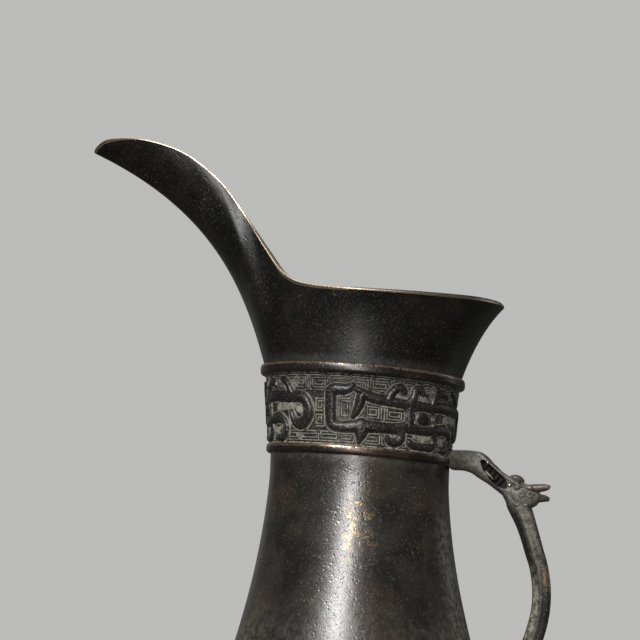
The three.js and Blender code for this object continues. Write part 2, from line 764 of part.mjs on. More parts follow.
{
  const bar = solidFrom(
    sweptBar(strapPath, 0, 1, 26, strapSection(STRAP_THICKNESS, STRAP_WIDTH, STRAP_CHAMFER)),
  );
  const out = new THREE.Vector3(strapFoot.outX, 0, strapFoot.outZ);
  const padCentre = new THREE.Vector3(strapFoot.radius, 0, strapFoot.height);
  padCentre.addScaledVector(out, (STRAP_FOOT_THICKNESS - 2) / 2);
  const pad = new THREE.CylinderGeometry(
    STRAP_FOOT_RADIUS - 1,
    STRAP_FOOT_RADIUS,
    STRAP_FOOT_THICKNESS + 2,
    20,
  );
  const strap = bar
    .add(solidFrom(aimed(pad, padCentre, out)))
    .add(strapTenon(0))
    .subtract(wholeNeck)
    .subtract(footRivet.hole);
  addPiece("handle_strap", geometryFrom(strap), HANDLE_BRONZE);
  addPiece("handle_foot_rivet", footRivet.piece, RIVET_COPPER);

  const side = slab(HEAD_SIDE.map(([x, z]) => [headX(x), headZ(z)]), HEAD_WIDTH);
  const mouthOutline = MOUTH.map(([x, z]) => [headX(x), headZ(z)]);
  const mouth = solidFrom(slab(mouthOutline, HEAD_WIDTH * 2));
  const tongue = solidFrom(slab(mouthOutline, TONGUE_WIDTH));
  const strapClear = solidFrom(
    sweptBar(strapPath, 0, 0.3, 8, strapSection(STRAP_THICKNESS + 2 * GAP, HEAD_WIDTH, 0)),
  );
  const upStrap = strapPath.getTangentAt(0).multiplyScalar(-GAP).toArray();
  let head = solidFrom(side)
    .intersect(column(HEAD_PLAN.map(([x, y]) => [headX(x), y * HEAD_WIDTH])))
    .subtract(mouth.subtract(tongue))
    .subtract(strapClear.add(strapClear.translate(upStrap)))
    .subtract(strapTenon(GAP))
    .subtract(drill(PEG_RADIUS + GAP, pegReach + GAP, pegStart, pegAlong));
  for (const hand of [1, -1]) {
    const { start, along } = hornLine(hand);
    const holeStart = start.clone().addScaledVector(along, -HORN_PEG_LENGTH);
    head = head.subtract(drill(HORN_PEG_RADIUS + GAP / 2, HORN_LENGTH, holeStart, along));
  }
  addPiece("beast_head", geometryFrom(head), HANDLE_BRONZE);

  const arm = solidFrom(slab(BRACKET_SIDE.map(([x, z]) => [x, headZ(z)]), BRACKET_ROOT_WIDTH));
  const armPlan = [...BRACKET_PLAN, ...BRACKET_PLAN.map(([x, y]) => [x, -y]).reverse()];
  const bracket = arm
    .intersect(column(armPlan))
    .subtract(wholeNeck)
    .add(bracketTenon(0))
    .add(drill(PEG_RADIUS, pegReach, pegStart, pegAlong));
  addPiece("neck_bracket", geometryFrom(bracket), HANDLE_BRONZE);
}

for (const [name, hand] of [["horn_right", 1], ["horn_left", -1]]) {
  const { start, along } = hornLine(hand);
  const outline = [
    [0, -HORN_PEG_LENGTH + GAP],
    [HORN_PEG_RADIUS, -HORN_PEG_LENGTH + GAP],
    [HORN_PEG_RADIUS, 1.4],
    [HORN_RADIUS, 1.4 + GAP],
    [HORN_RADIUS * 0.94, HORN_LENGTH * 0.55],
    [HORN_RADIUS * 0.8, HORN_LENGTH * 0.85],
    [HORN_RADIUS * 0.4, HORN_LENGTH],
    [0, HORN_LENGTH],
  ].map(([radius, height]) => new THREE.Vector2(radius, height));
  addPiece(name, aimed(new THREE.LatheGeometry(outline, 10), start, along), HANDLE_BRONZE);
}

// The frame's origin is the middle of the whole vessel's footprint, on the ground
const extent = new THREE.Box3().setFromObject(vessel);
vessel.position.x = -(extent.min.x + extent.max.x) / 2;

export default vessel;
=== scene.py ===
import math

import bmesh
import bpy
import numpy as np
from mathutils import Matrix, Quaternion, Vector


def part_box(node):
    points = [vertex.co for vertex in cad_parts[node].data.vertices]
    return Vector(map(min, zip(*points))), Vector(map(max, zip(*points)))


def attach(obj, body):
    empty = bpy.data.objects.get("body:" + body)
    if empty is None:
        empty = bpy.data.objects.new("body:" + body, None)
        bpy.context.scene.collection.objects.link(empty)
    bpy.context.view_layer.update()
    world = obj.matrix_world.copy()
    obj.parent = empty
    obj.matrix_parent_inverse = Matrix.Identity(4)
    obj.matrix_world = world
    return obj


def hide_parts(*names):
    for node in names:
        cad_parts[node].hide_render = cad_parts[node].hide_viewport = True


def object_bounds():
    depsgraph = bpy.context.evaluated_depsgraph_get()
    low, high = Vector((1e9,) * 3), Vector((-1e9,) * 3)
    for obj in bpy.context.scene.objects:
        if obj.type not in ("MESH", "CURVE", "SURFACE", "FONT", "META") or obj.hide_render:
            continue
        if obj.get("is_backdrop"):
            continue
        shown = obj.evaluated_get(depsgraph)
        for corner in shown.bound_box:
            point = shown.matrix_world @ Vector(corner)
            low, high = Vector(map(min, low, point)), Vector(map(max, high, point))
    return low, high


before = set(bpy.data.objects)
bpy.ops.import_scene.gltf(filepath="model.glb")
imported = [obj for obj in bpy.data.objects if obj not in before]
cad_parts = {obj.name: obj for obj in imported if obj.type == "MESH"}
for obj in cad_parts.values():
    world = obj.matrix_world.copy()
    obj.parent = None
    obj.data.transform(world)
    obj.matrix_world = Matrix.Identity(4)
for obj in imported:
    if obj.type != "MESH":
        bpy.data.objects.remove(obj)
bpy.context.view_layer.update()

# Studio: a pale floor that fades into a pale surround, a tall soft lamp in front that leans left for
# the long highlight down the bowl, a small high one, a broad one overhead and weak ones at the sides
# and behind. The surround is dim where the bronze mirrors it. The camera stands low and looks up.
band_low, band_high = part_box("neck_band")
AXIS_X = (band_low.x + band_high.x) / 2
SURROUND = (0.5, 0.5, 0.49, 1)
SURROUND_LIGHT = 0.5
SURROUND_MIRRORED = 0.15
FLOOR_COLOUR = (0.54, 0.53, 0.515, 1)
FLOOR_RADIUS = 9
FADE_STARTS = 0.22
FADE_ENDS = 0.75


def node(tree, kind, sockets=(), **settings):
    """Adds a shader node. A socket takes a number, a colour or another node's output."""
    made = tree.nodes.new("ShaderNode" + kind)
    for name, value in settings.items():
        setattr(made, name, value)
    for name, value in dict(sockets).items():
        if isinstance(value, bpy.types.NodeSocket):
            tree.links.new(value, made.inputs[name])
        else:
            made.inputs[name].default_value = value
    return made


def mapped(tree, value, low=0, high=1, to_low=0, to_high=1, soft=False):
    """A value whose range from low to high is spread over another range, with soft ends if asked."""
    sockets = {"Value": value, "From Min": low, "From Max": high, "To Min": to_low, "To Max": to_high}
    ends = "SMOOTHSTEP" if soft else "LINEAR"
    return node(tree, "MapRange", sockets, interpolation_type=ends).outputs[0]


def reckoned(tree, operation, *values, clamp=False):
    """Result of a Math node."""
    sockets = dict(enumerate(values))
    return node(tree, "Math", sockets, operation=operation, use_clamp=clamp).outputs[0]


def empty_material(name):
    """A new material without nodes, and its node tree."""
    material = bpy.data.materials.new(name)
    material.use_nodes = True
    material.node_tree.nodes.clear()
    return material, material.node_tree


def surround_strength(tree):
    """Full strength as seen by the camera, less as ambient light and least in mirrored rays."""
    path = node(tree, "LightPath")
    dim = mapped(tree, path.outputs["Is Glossy Ray"], 0, 1, SURROUND_LIGHT, SURROUND_MIRRORED)
    return mapped(tree, path.outputs["Is Camera Ray"], 0, 1, dim, 1)


world = bpy.data.worlds.new("studio_air")
bpy.context.scene.world = world
world.use_nodes = True
air = world.node_tree
air.nodes.clear()
ambient = node(air, "Background", {"Color": SURROUND, "Strength": surround_strength(air)})
node(air, "OutputWorld", {"Surface": ambient.outputs[0]})

floor_paper, paper = empty_material("floor_paper")
place = node(paper, "TexCoord").outputs["Object"]
distance = node(paper, "VectorMath", {0: place}, operation="LENGTH").outputs["Value"]
fade = mapped(paper, distance, FADE_STARTS, FADE_ENDS)
matt = node(paper, "BsdfDiffuse", {"Color": FLOOR_COLOUR})
glow = node(paper, "Emission", {"Color": SURROUND, "Strength": surround_strength(paper)})
mirrored = node(paper, "LightPath").outputs["Is Glossy Ray"]
faded = reckoned(paper, "MAXIMUM", fade, mirrored)
paper_mix = node(paper, "MixShader", {0: faded, 1: matt.outputs[0], 2: glow.outputs[0]})
node(paper, "OutputMaterial", {"Surface": paper_mix.outputs[0]})

floor_mesh = bpy.data.meshes.new("floor")
disc = bmesh.new()
bmesh.ops.create_circle(disc, cap_ends=True, segments=96, radius=FLOOR_RADIUS)
disc.to_mesh(floor_mesh)
disc.free()
floor = bpy.data.objects.new("floor", floor_mesh)
floor_mesh.materials.append(floor_paper)
bpy.context.scene.collection.objects.link(floor)
floor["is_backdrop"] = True

CAMERA_TURN = 3
CAMERA_DISTANCE = 0.68
CAMERA_HEIGHT = 0.138
LENS = 112.5
SENSOR = 36
LOOK_UP = math.atan(245 / 2000)
LOOK_LEFT = math.atan(45 / 2000)
CAMERA_ROLL = 0.037
AIM_HEIGHT = 0.17


def soft_lamp(name, turn, rise, distance, width, height, power, lean=0):
    """Soft box that looks at the vessel. Turn is to the right of the camera and lean tips its top
    to the left, in degrees."""
    around = math.radians(turn + CAMERA_TURN)
    up = math.radians(rise)
    aim = Vector((AXIS_X, 0, AIM_HEIGHT))
    back = Vector((math.sin(around) * math.cos(up), -math.cos(around) * math.cos(up), math.sin(up)))
    box = bpy.data.lights.new(name, "AREA")
    box.shape = "RECTANGLE"
    box.size = width
    box.size_y = height
    box.energy = power
    lamp = bpy.data.objects.new(name, box)
    lamp.location = aim + back * distance
    lamp.rotation_mode = "QUATERNION"
    facing = (-back).to_track_quat("-Z", "Y")
    lamp.rotation_quaternion = facing @ Quaternion((0, 0, 1), math.radians(lean))
    bpy.context.scene.collection.objects.link(lamp)


soft_lamp("front_lamp", -14, 18, 0.95, 0.1, 0.62, 7.5, lean=35)
soft_lamp("high_lamp", -24, 31, 0.95, 0.26, 0.2, 4.2)
soft_lamp("overhead_lamp", -20, 70, 0.9, 0.6, 0.6, 2.4)
soft_lamp("right_lamp", 118, 16, 1.1, 0.14, 0.9, 0.5)
soft_lamp("left_lamp", -155, 16, 1.1, 0.5, 0.9, 0.2)
soft_lamp("back_lamp", 180, 40, 1.1, 0.7, 0.7, 2.5)

camera_data = bpy.data.cameras.new("camera")
camera_data.lens = LENS
camera_data.sensor_width = SENSOR
camera = bpy.data.objects.new("camera", camera_data)
turned = math.radians(CAMERA_TURN)
camera.location = (
    AXIS_X + CAMERA_DISTANCE * math.sin(turned),
    -CAMERA_DISTANCE * math.cos(turned),
    CAMERA_HEIGHT,
)
camera.rotation_mode = "QUATERNION"
camera.rotation_quaternion = (
    Matrix.Rotation(turned + LOOK_LEFT, 3, "Z")
    @ Matrix.Rotation(math.pi / 2 + LOOK_UP, 3, "X")
    @ Matrix.Rotation(CAMERA_ROLL, 3, "Z")
).to_quaternion()
bpy.context.scene.collection.objects.link(camera)
bpy.context.scene.camera = camera
bpy.context.scene.view_settings.view_transform = "Standard"

# Bowl and neck: one bronze casting, pear-shaped, with a wall of about 3 mm and a stepped spigot
# on top for the rings and the band. Dark brown patina over a finely grained cast skin.
# Sizes of the vessel's pieces are in millimetres about the vessel's axis.
MM = 0.001
BOWL_WALL = 3.2
SPIGOT_RADIUS = 28.7
SPIGOT_HEIGHT = 8
NECK_BORE = 27.2
NECK_RADIUS = 30.4
NECK_TOP = 173.9
BASE_HOLE = 19
BASE_SEAT_RADIUS = 23.3
BASE_LEDGE = 57.5
BOWL_OUTLINE = [
    (19, 55), (24.5, 55.5), (33.2, 58.7), (40.5, 64.5), (45.2, 72.8), (46.95, 82.9), (46.2, 91.9),
    (43.3, 101.4), (39.5, 113.5), (35.4, 130), (32.7, 144.5), (31.1, 157), (NECK_RADIUS, 166),
    (NECK_RADIUS, NECK_TOP),
]
SLOPE = 0.045
SLOPE_STARTS = 112
SLOPE_FULL = 168
ROUND_STEPS = 192


def drawn_curve(points, steps, closed=False):
    """Smooth curve through the points, with that many steps from each to the next."""
    points = np.array(points, float)
    before = points[-1:] if closed else points[:1]
    after = points[:2] if closed else points[-1:]
    around = np.vstack([before, points, after])
    t = (np.arange(steps) / steps)[:, None]
    spans = []
    for a, b, c, d in zip(around, around[1:], around[2:], around[3:]):
        bend = (2 * a - 5 * b + 4 * c - d) * t**2 + (3 * b - a - 3 * c + d) * t**3
        spans.append(b + 0.5 * ((c - a) * t + bend))
    if not closed:
        spans.append(points[-1:])
    return np.vstack(spans)


def stepped(value, low, high):
    """0 below low, 1 above high and smooth between. With low above high it falls instead."""
    share = np.clip((value - low) / (high - low), 0, 1)
    return share * share * (3 - 2 * share)


def headings(line):
    """Unit direction of a flat line at each of its points."""
    heading = np.gradient(line[:, :2], axis=0)
    return heading / np.linalg.norm(heading, axis=1)[:, None]


def moved_in(outline, depth):
    """An upward outline of (radius, height) points, moved towards the axis along its normals."""
    heading = headings(outline)
    return outline - depth * np.stack([heading[:, 1], -heading[:, 0]], axis=1)


def spun(outline, steps=ROUND_STEPS):
    """Spins (radius, height) points once round the axis. An outline off the axis is closed."""
    work = bmesh.new()
    points = [work.verts.new((radius, 0, height)) for radius, height in outline]
    on_axis = min(radius for radius, height in outline) < 1e-6
    following = points[1:] if on_axis else points[1:] + points[:1]
    geom = points + [work.edges.new(pair) for pair in zip(points, following)]
    about = {"axis": (0, 0, 1), "cent": (0, 0, 0), "angle": 2 * math.pi}
    bmesh.ops.spin(work, geom=geom, steps=steps, use_merge=True, **about)
    bmesh.ops.remove_doubles(work, verts=work.verts, dist=1e-4)
    bmesh.ops.recalc_face_normals(work, faces=work.faces)
    return work


def from_axis(at):
    """Distance of each point from the vessel's axis."""
    return np.hypot(at[:, 0], at[:, 1])


def on_slope(places):
    """The neck, rings and collar slope gently down towards the handle."""
    share = stepped(places[:, 2], SLOPE_STARTS, SLOPE_FULL)
    places[:, 2] -= SLOPE * share * places[:, 0]
    return places


def made_piece(
    name, work, material, slot, nodes=None, worn=None, dusty=None, painted_shade=None, sloped=False, crease=38
):
    """Turns a mesh in millimetres about the vessel's axis into a piece of the shared frame, which
    replaces the node of its own name unless others are given. Worn and dusty give every point's
    share of rubbed metal and of dust, and the third share gives painted shade. A sloped piece follows
    the neck's slope, and edges that turn by more than the crease, in degrees, stay sharp."""
    nodes = nodes or [name]
    for line in work.edges:
        line.smooth = line.calc_face_angle(math.pi) < math.radians(crease)
    mesh = bpy.data.meshes.new(name)
    work.to_mesh(mesh)
    work.free()
    places = np.empty(len(mesh.vertices) * 3)
    mesh.vertices.foreach_get("co", places)
    places = places.reshape(-1, 3)
    for mark, share in (("worn", worn), ("dusty", dusty), ("painted_shade", painted_shade)):
        if share is not None:
            layer = mesh.attributes.new(mark, "FLOAT", "POINT")
            layer.data.foreach_set("value", np.clip(share(places), 0, 1).astype(np.float32))
    if sloped:
        places = on_slope(places)
    places = places * MM + np.array([AXIS_X, 0, 0])
    mesh.vertices.foreach_set("co", places.ravel())
    mesh.polygons.foreach_set("use_smooth", np.ones(len(mesh.polygons), bool))
    mesh.materials.append(material)
    mesh.update()
    piece = bpy.data.objects.new(name, mesh)
    bpy.context.scene.collection.objects.link(piece)
    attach(piece, "root")
    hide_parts(*nodes)


def new_group(name, inputs, outputs):
    """A shader node group. Inputs and outputs are names with their socket kinds."""
    group = bpy.data.node_groups.new(name, "ShaderNodeTree")
    for direction, sockets in (("INPUT", inputs), ("OUTPUT", outputs)):
        for socket, kind in sockets.items():
            group.interface.new_socket(socket, in_out=direction, socket_type="NodeSocket" + kind)
    return group, group.nodes.new("NodeGroupInput"), group.nodes.new("NodeGroupOutput")


def mixed(tree, share, first, second, kind="RGBA"):
    """Mix of two colours, or of two numbers if the kind is FLOAT."""
    start, result = (6, 2) if kind == "RGBA" else (2, 0)
    mix = node(tree, "Mix", {0: share, start: first, start + 1: second}, data_type=kind)
    return mix.outputs[result]


def noise(tree, place, scale, detail, rough=0.5):
    """Plain noise between 0 and 1."""
    sockets = {"Vector": place, "Scale": scale, "Detail": detail, "Roughness": rough}
    return node(tree, "TexNoise", sockets).outputs[0]


def noise_mask(tree, place, scale, low, high, detail=3, rough=0.55):
    """Cloudy mask: 0 where the noise is under low, 1 where it is over high."""
    return mapped(tree, noise(tree, place, scale, detail, rough), low, high, soft=True)


def times(tree, first, second):
    """Product of two shares."""
    return reckoned(tree, "MULTIPLY", first, second, clamp=True)


# Cast skin: fine sandy grain, wider hammered-looking unevenness and small pits
cast_skin, skin_in, skin_out = new_group(
    "cast_skin",
    {"Place": "Vector", "Grain": "Float"},
    {"Height": "Float", "Speck": "Float"},
)
where = skin_in.outputs["Place"]
fine = noise(cast_skin, where, reckoned(cast_skin, "MULTIPLY", 1700, skin_in.outputs["Grain"]), 4)
wide = noise(cast_skin, where, 230, 2)
pits = node(cast_skin, "TexVoronoi", {"Vector": where, "Scale": 620, "Randomness": 1})
pit = mapped(cast_skin, pits.outputs["Distance"], 0.1, 0.32)
rough_skin = reckoned(cast_skin, "MULTIPLY_ADD", fine, 0.55, wide)
pitted = reckoned(cast_skin, "MULTIPLY_ADD", pit, 0.5, rough_skin)
cast_skin.links.new(pitted, skin_out.inputs["Height"])
cast_skin.links.new(noise_mask(cast_skin, where, 1500, 0.6, 0.72, 2), skin_out.inputs["Speck"])

# Patina: dark brown clouds with a reddish blush, pale dust, painted shade in the deepest places
# and metal that shows where it is rubbed
PAINTED_SHADE_COLOUR = (0.004, 0.0035, 0.003, 1)
PATINA_LAYERS = ("Dark", "Brown", "Blush", "Dust", "Metal")
PATINA_SHARES = ("Blush share", "Fleck share", "Even dust", "Worn", "Dusty", "Painted_shade")
patina, patina_in, patina_out = new_group(
    "patina",
    {"Place": "Vector", **dict.fromkeys(PATINA_LAYERS, "Color"), **dict.fromkeys(PATINA_SHARES, "Float")},
    {"Colour": "Color", "Bare": "Float", "Matt": "Float"},
)
given = patina_in.outputs
where = given["Place"]
brown = mixed(patina, noise_mask(patina, where, 75, 0.36, 0.66, 5, 0.62), given["Dark"], given["Brown"])
blush = times(patina, noise_mask(patina, where, 42, 0.5, 0.68, 4), given["Blush share"])
reddish = mixed(patina, blush, brown, given["Blush"])
fine_dust = times(patina, noise_mask(patina, where, 1500, 0.52, 0.7, 4, 0.7), 0.35)
settled = reckoned(patina, "ADD", given["Dusty"], fine_dust, clamp=True)
patches = noise_mask(patina, where, 480, 0.36, 0.66, 5, 0.7)
dust = times(patina, settled, mapped(patina, patches, to_low=given["Even dust"]))
dusted = mixed(patina, dust, reddish, given["Dust"])
# Painted shade: the colour is drawn towards near black where the shade share is high
with_painted_shade = mixed(patina, times(patina, given["Painted_shade"], 0.92), dusted, PAINTED_SHADE_COLOUR)
fleck_field = noise_mask(patina, where, 58, 0.53, 0.66, 3)
flecks = times(patina, noise_mask(patina, where, 1300, 0.62, 0.68, 2), fleck_field)
fleck = times(patina, flecks, given["Fleck share"])
fine_grit = noise_mask(patina, where, 2600, 0.25, 0.75, 2)
grit = reckoned(patina, "ADD", fine_grit, noise_mask(patina, where, 500, 0.2, 0.8, 3))
ragged = reckoned(patina, "MULTIPLY_ADD", grit, 0.3, given["Worn"])
bare = reckoned(patina, "MAXIMUM", mapped(patina, ragged, 0.62, 1, soft=True), fleck)
matt_share = reckoned(patina, "MAXIMUM", dust, given["Painted_shade"])
patina.links.new(mixed(patina, bare, with_painted_shade, given["Metal"]), patina_out.inputs["Colour"])
patina.links.new(bare, patina_out.inputs["Bare"])
patina.links.new(matt_share, patina_out.inputs["Matt"])

BUMP_DEPTH = 0.00012
SPECK_ROUGHNESS = 0.12
DUST_ROUGHNESS = 0.85
METAL_ROUGHNESS = 0.3


def bronze(
    name, colours, grain, bump, rough, gloss=1.5, metal=0.3, blush=0.5, fleck=0.5, even_dust=0.45
):
    """Patinated bronze. Colours are dark, brown, blush, dust and bare metal, and gloss is the
    refraction index of the waxed patina. Dust is patchy, and less so as even_dust nears 1."""
    material, tree = empty_material(name)
    place = node(tree, "TexCoord").outputs["Object"]
    skin = node(tree, "Group", {"Place": place, "Grain": grain}, node_tree=cast_skin).outputs
    looks = {"Place": place, "Blush share": blush, "Fleck share": fleck, "Even dust": even_dust}
    for layer, colour in zip(PATINA_LAYERS, colours):
        looks[layer] = (*colour, 1)
    for mark in ("worn", "dusty", "painted_shade"):
        looks[mark.capitalize()] = node(tree, "Attribute", attribute_name=mark).outputs["Fac"]
    coat = node(tree, "Group", looks, node_tree=patina).outputs
    grainy = mapped(tree, skin["Speck"], 0, 1, rough, rough + SPECK_ROUGHNESS)
    dusty = mixed(tree, coat["Matt"], grainy, DUST_ROUGHNESS, "FLOAT")
    uneven = {"Strength": bump, "Distance": BUMP_DEPTH, "Height": skin["Height"]}
    surface = {
        "Base Color": coat["Colour"],
        "Metallic": mapped(tree, coat["Bare"], 0, 1, metal, 1),
        "Roughness": mixed(tree, coat["Bare"], dusty, METAL_ROUGHNESS, "FLOAT"),
        "IOR": gloss,
        "Normal": node(tree, "Bump", uneven).outputs[0],
    }
    shader = node(tree, "BsdfPrincipled", surface)
    node(tree, "OutputMaterial", {"Surface": shader.outputs[0]})
    return material


PATINA_COLOURS = [
    (0.008, 0.0075, 0.0066),
    (0.0235, 0.021, 0.0172),
    (0.052, 0.03, 0.02),
    (0.15, 0.142, 0.112),
    (0.6, 0.38, 0.16),
]
bowl_bronze = bronze(
    "bowl_bronze", PATINA_COLOURS, 1.4, 0.55, 0.26, 1.68, 0.16, blush=0.4, fleck=0.25, even_dust=0.1
)

bowl_outer = drawn_curve(BOWL_OUTLINE, 6)
bowl_inner = moved_in(bowl_outer, BOWL_WALL)[::-1]
bowl_inner = [p for p in bowl_inner if p[0] > BASE_SEAT_RADIUS + 0.3 and p[1] < NECK_TOP - 0.3]
bowl = spun(
    [
        *bowl_outer,
        (SPIGOT_RADIUS, NECK_TOP),
        (SPIGOT_RADIUS, NECK_TOP + SPIGOT_HEIGHT),
        (NECK_BORE, NECK_TOP + SPIGOT_HEIGHT),
        *bowl_inner,
        (BASE_SEAT_RADIUS, BASE_LEDGE),
        (BASE_HOLE, BASE_LEDGE),
    ]
)
RUB_TURN = -88
RUB_HEIGHT = 149
RUB_SPREAD_TURN = 20
RUB_SPREAD_HEIGHT = 21


def bowl_wear(at):
    """Golden specks where the front of the neck has been rubbed."""
    turn = np.degrees(np.arctan2(at[:, 1], at[:, 0]))
    away = ((turn - RUB_TURN) / RUB_SPREAD_TURN) ** 2
    away += ((at[:, 2] - RUB_HEIGHT) / RUB_SPREAD_HEIGHT) ** 2
    return 0.37 * np.exp(-away) * (from_axis(at) > NECK_RADIUS - 0.2)


def bowl_pale_marks(at):
    """Dust under the lower ring, and paler patina round the lower belly, most at its sides, and down
    the flank below the handle.
    """
    radius = from_axis(at)
    flank = 1.1 * stepped(at[:, 0] / radius, 0.78, 0.95) * stepped(at[:, 2], 174, 144)
    beside = stepped(np.abs(at[:, 0]) / radius, 0.6, 0.95)
    low = (0.2 + 0.55 * beside) * stepped(at[:, 2], 134, 104)
    under_ring = 0.2 * stepped(at[:, 2], 170.5, 173.5)
    return np.maximum(flank, low) + under_ring


marks = {"worn": bowl_wear, "dusty": bowl_pale_marks}
made_piece("body_shell", bowl, bowl_bronze, "patinated_bronze", sloped=True, **marks)

# Bowstring rings: two cast bronze ridges, slid over the spigots, that hide the seams below and
# above the band. Their upper edges are rubbed bright, which is partly painted highlight, their
# patina is darkened as painted shade, and dust sits in the corners beside them.
RING_BORE = 29
# Lower edge, upper edge and radius
RINGS = {"lower_bowstring_ring": (NECK_TOP, 176.8, 31.9), "upper_bowstring_ring": (200, 203.4, 34.9)}


def ring_outline(low, high, radius):
    """Ridge section: flat bore, round lower edge and a crisper upper edge."""
    tall = high - low
    broad = 0.34 * tall
    crisp = 0.16 * tall
    lower = [
        (radius - broad * (1 - math.sin(a)), low + broad * (1 - math.cos(a)))
        for a in np.linspace(0, math.pi / 2, 7)
    ]
    crest = [(radius, low + 0.5 * tall), (radius, low + 0.62 * tall)]
    crest.append((radius - 0.01 * tall, low + 0.74 * tall))
    upper = [
        (radius - 0.04 * tall - crisp * (1 - math.cos(a)), high - crisp * (1 - math.sin(a)))
        for a in np.linspace(0, math.pi / 2, 6)
    ]
    return [(RING_BORE, low), *lower, *crest, *upper, (RING_BORE, high)]


# Reddish patina of the rings, darkened further as painted shade on their faces
SHADED_RING_COLOURS = [
    (0.005, 0.0044, 0.0038),
    (0.0105, 0.0085, 0.0065),
    (0.042, 0.017, 0.0095),
    (0.14, 0.125, 0.095),
    (0.36, 0.25, 0.17),
]
shaded_ring_bronze = bronze("shaded_ring_bronze", SHADED_RING_COLOURS, 1.0, 0.5, 0.32, 1.6, blush=0.9, fleck=0.1)

for name, (low, high, radius) in RINGS.items():

    def crest_wear_and_highlight(at, high=high, radius=radius):
        """Metal along the upper edge, more of it in some stretches, partly wear and partly painted
        highlight.
        """
        outward = stepped(from_axis(at), radius - 1.4, radius - 0.5)
        edge = outward * stepped(at[:, 2], high - 1.7, high - 0.4)
        return edge * (0.54 + 0.14 * np.sin(2.3 * np.arctan2(at[:, 1], at[:, 0]) + high))

    ring = spun(ring_outline(low, high, radius))
    made_piece(name, ring, shaded_ring_bronze, "patinated_bronze", worn=crest_wear_and_highlight, sloped=True)

# Relief band: cast bronze, three like panels round the neck, each with a kui dragon in high relief
# over a ground of leiwen, fine square spirals. The creature is smooth and blue-black, and the
# threads of the spirals hold pale grey-green dust. Bare metal on the crests of both is partly
# rubbing and partly painted highlight, and the top row of spirals is dimmed as painted shade.
# Places on a panel are in millimetres along the neck and up from the lower ring.
BAND_LOW = 176.82
BAND_HEIGHT = 23.16
GROUND_LOW = 30.6
GROUND_HIGH = 32.6
MEASURE_RADIUS = 32.4
PANELS = 3
PANEL_LENGTH = MEASURE_RADIUS * 2 * math.pi / PANELS
PANEL_LEFT_OF_MIDDLE = 21
PANEL_START = math.radians(CAMERA_TURN - 90 - PANEL_LEFT_OF_MIDDLE)
PANEL_SEAM = 0.02
CREATURE_HEIGHT = 1.2
CREATURE_SHOULDER = 1.55
CREATURE_SWELL = 0.32
CONTOUR_GAP = 0.52
CONTOUR_HALF = 0.22
GROUND_GAP = 1.02
THREAD_HEIGHT = 0.42
THREAD_HALF = 0.22
THREAD_PITCH = 0.88
THREAD_EDGE = (-0.12, 0.14)
CAST_ROUGHNESS = (0.018, 0.02)

# The dragon's parts, each a line of (along, up, half width) points
DRAGON = {
    "tail_loop": [
        (7.4, 18.2, 0.9), (5.5, 17.9, 1.25), (3, 17.8, 1.35), (1.6, 16.9, 1.4), (1.45, 14, 1.4),
        (1.45, 9.5, 1.4), (1.8, 6.8, 1.35), (3.4, 5.95, 1.3), (7, 5.9, 1.3), (12, 6.4, 1.5),
        (18, 6.5, 1.2), (24, 6.6, 1.2), (27.2, 7.4, 1.3),
    ],
    "tail_flick": [(6.2, 17.9, 1.1), (7.8, 18.7, 0.75), (8.9, 19.6, 0.35)],
    "claw": [(12.1, 6.2, 2.3), (11.9, 4.2, 1.5), (11.6, 2.6, 0.8), (11.4, 1.3, 0.25)],
    "fang": [
        (12.2, 17, 0.6), (11.6, 15.4, 1.15), (10.9, 12.8, 0.95), (9.9, 10.6, 0.6), (9, 9.2, 0.2),
    ],
    "back": [
        (9.6, 18.4, 0.35), (11.6, 17.6, 0.7), (14, 16.3, 1.1), (18, 15.5, 1.15), (23, 15.1, 1),
        (28, 14.8, 1),
    ],
    "shoulder": [(28.7, 15, 1), (28.7, 11, 0.95), (28.7, 7, 1)],
    "first_quill": [
        (20.8, 15.8, 1.1), (21.8, 18, 0.9), (23.4, 19.7, 0.8), (25.3, 19.9, 0.8), (26.2, 18.9, 0.6),
    ],
    "crest": [
        (28.7, 15, 1.2), (29.9, 17.4, 0.95), (30.4, 19.6, 0.9), (32.2, 20.1, 0.9), (33.4, 19.3, 0.65),
    ],
    "brow_and_trunk": [
        (28.5, 15, 1.1), (31, 15, 0.85), (35, 14.9, 0.8), (39, 15, 1), (44, 15.4, 1.25), (50, 15.1, 1.3),
        (55, 15.1, 1.35), (58.6, 14.6, 1.4), (60.4, 12.4, 1.55), (60.8, 9.6, 1.6), (59.6, 7.1, 1.45),
        (56.9, 6.1, 1.25), (54.5, 7.3, 1), (53.4, 9.6, 0.65),
    ],
    "jaw": [
        (27.4, 7.4, 1.1), (31.5, 6.9, 0.85), (36, 6.9, 0.85), (41, 7.6, 1.1), (46, 8.2, 1.2),
        (49, 7.2, 1), (50.6, 5.2, 0.9), (50, 2.8, 0.9), (47.6, 1.6, 0.8), (44.4, 1.5, 0.6),
    ],
    "hind_foot": [
        (25.6, 6.4, 1.2), (25.9, 3.9, 1.1), (24.2, 2.2, 0.95), (22, 2.2, 0.7), (21, 3.4, 0.35),
    ],
    "middle_foot": [
        (39.6, 7, 1), (40.4, 4.6, 1), (39.8, 2.4, 0.95), (37, 1.6, 0.8), (32, 1.5, 0.8), (29.2, 2.6, 0.7),
    ],
    "second_quill": [(38.6, 15.6, 1), (39.4, 18, 1), (41, 19.8, 0.9), (43.6, 20, 0.8), (44.6, 18.9, 0.55)],
    "third_quill": [(53.4, 16.2, 1), (52.2, 18.4, 0.95), (50.6, 20.2, 0.8), (48.6, 20.8, 0.45)],
}
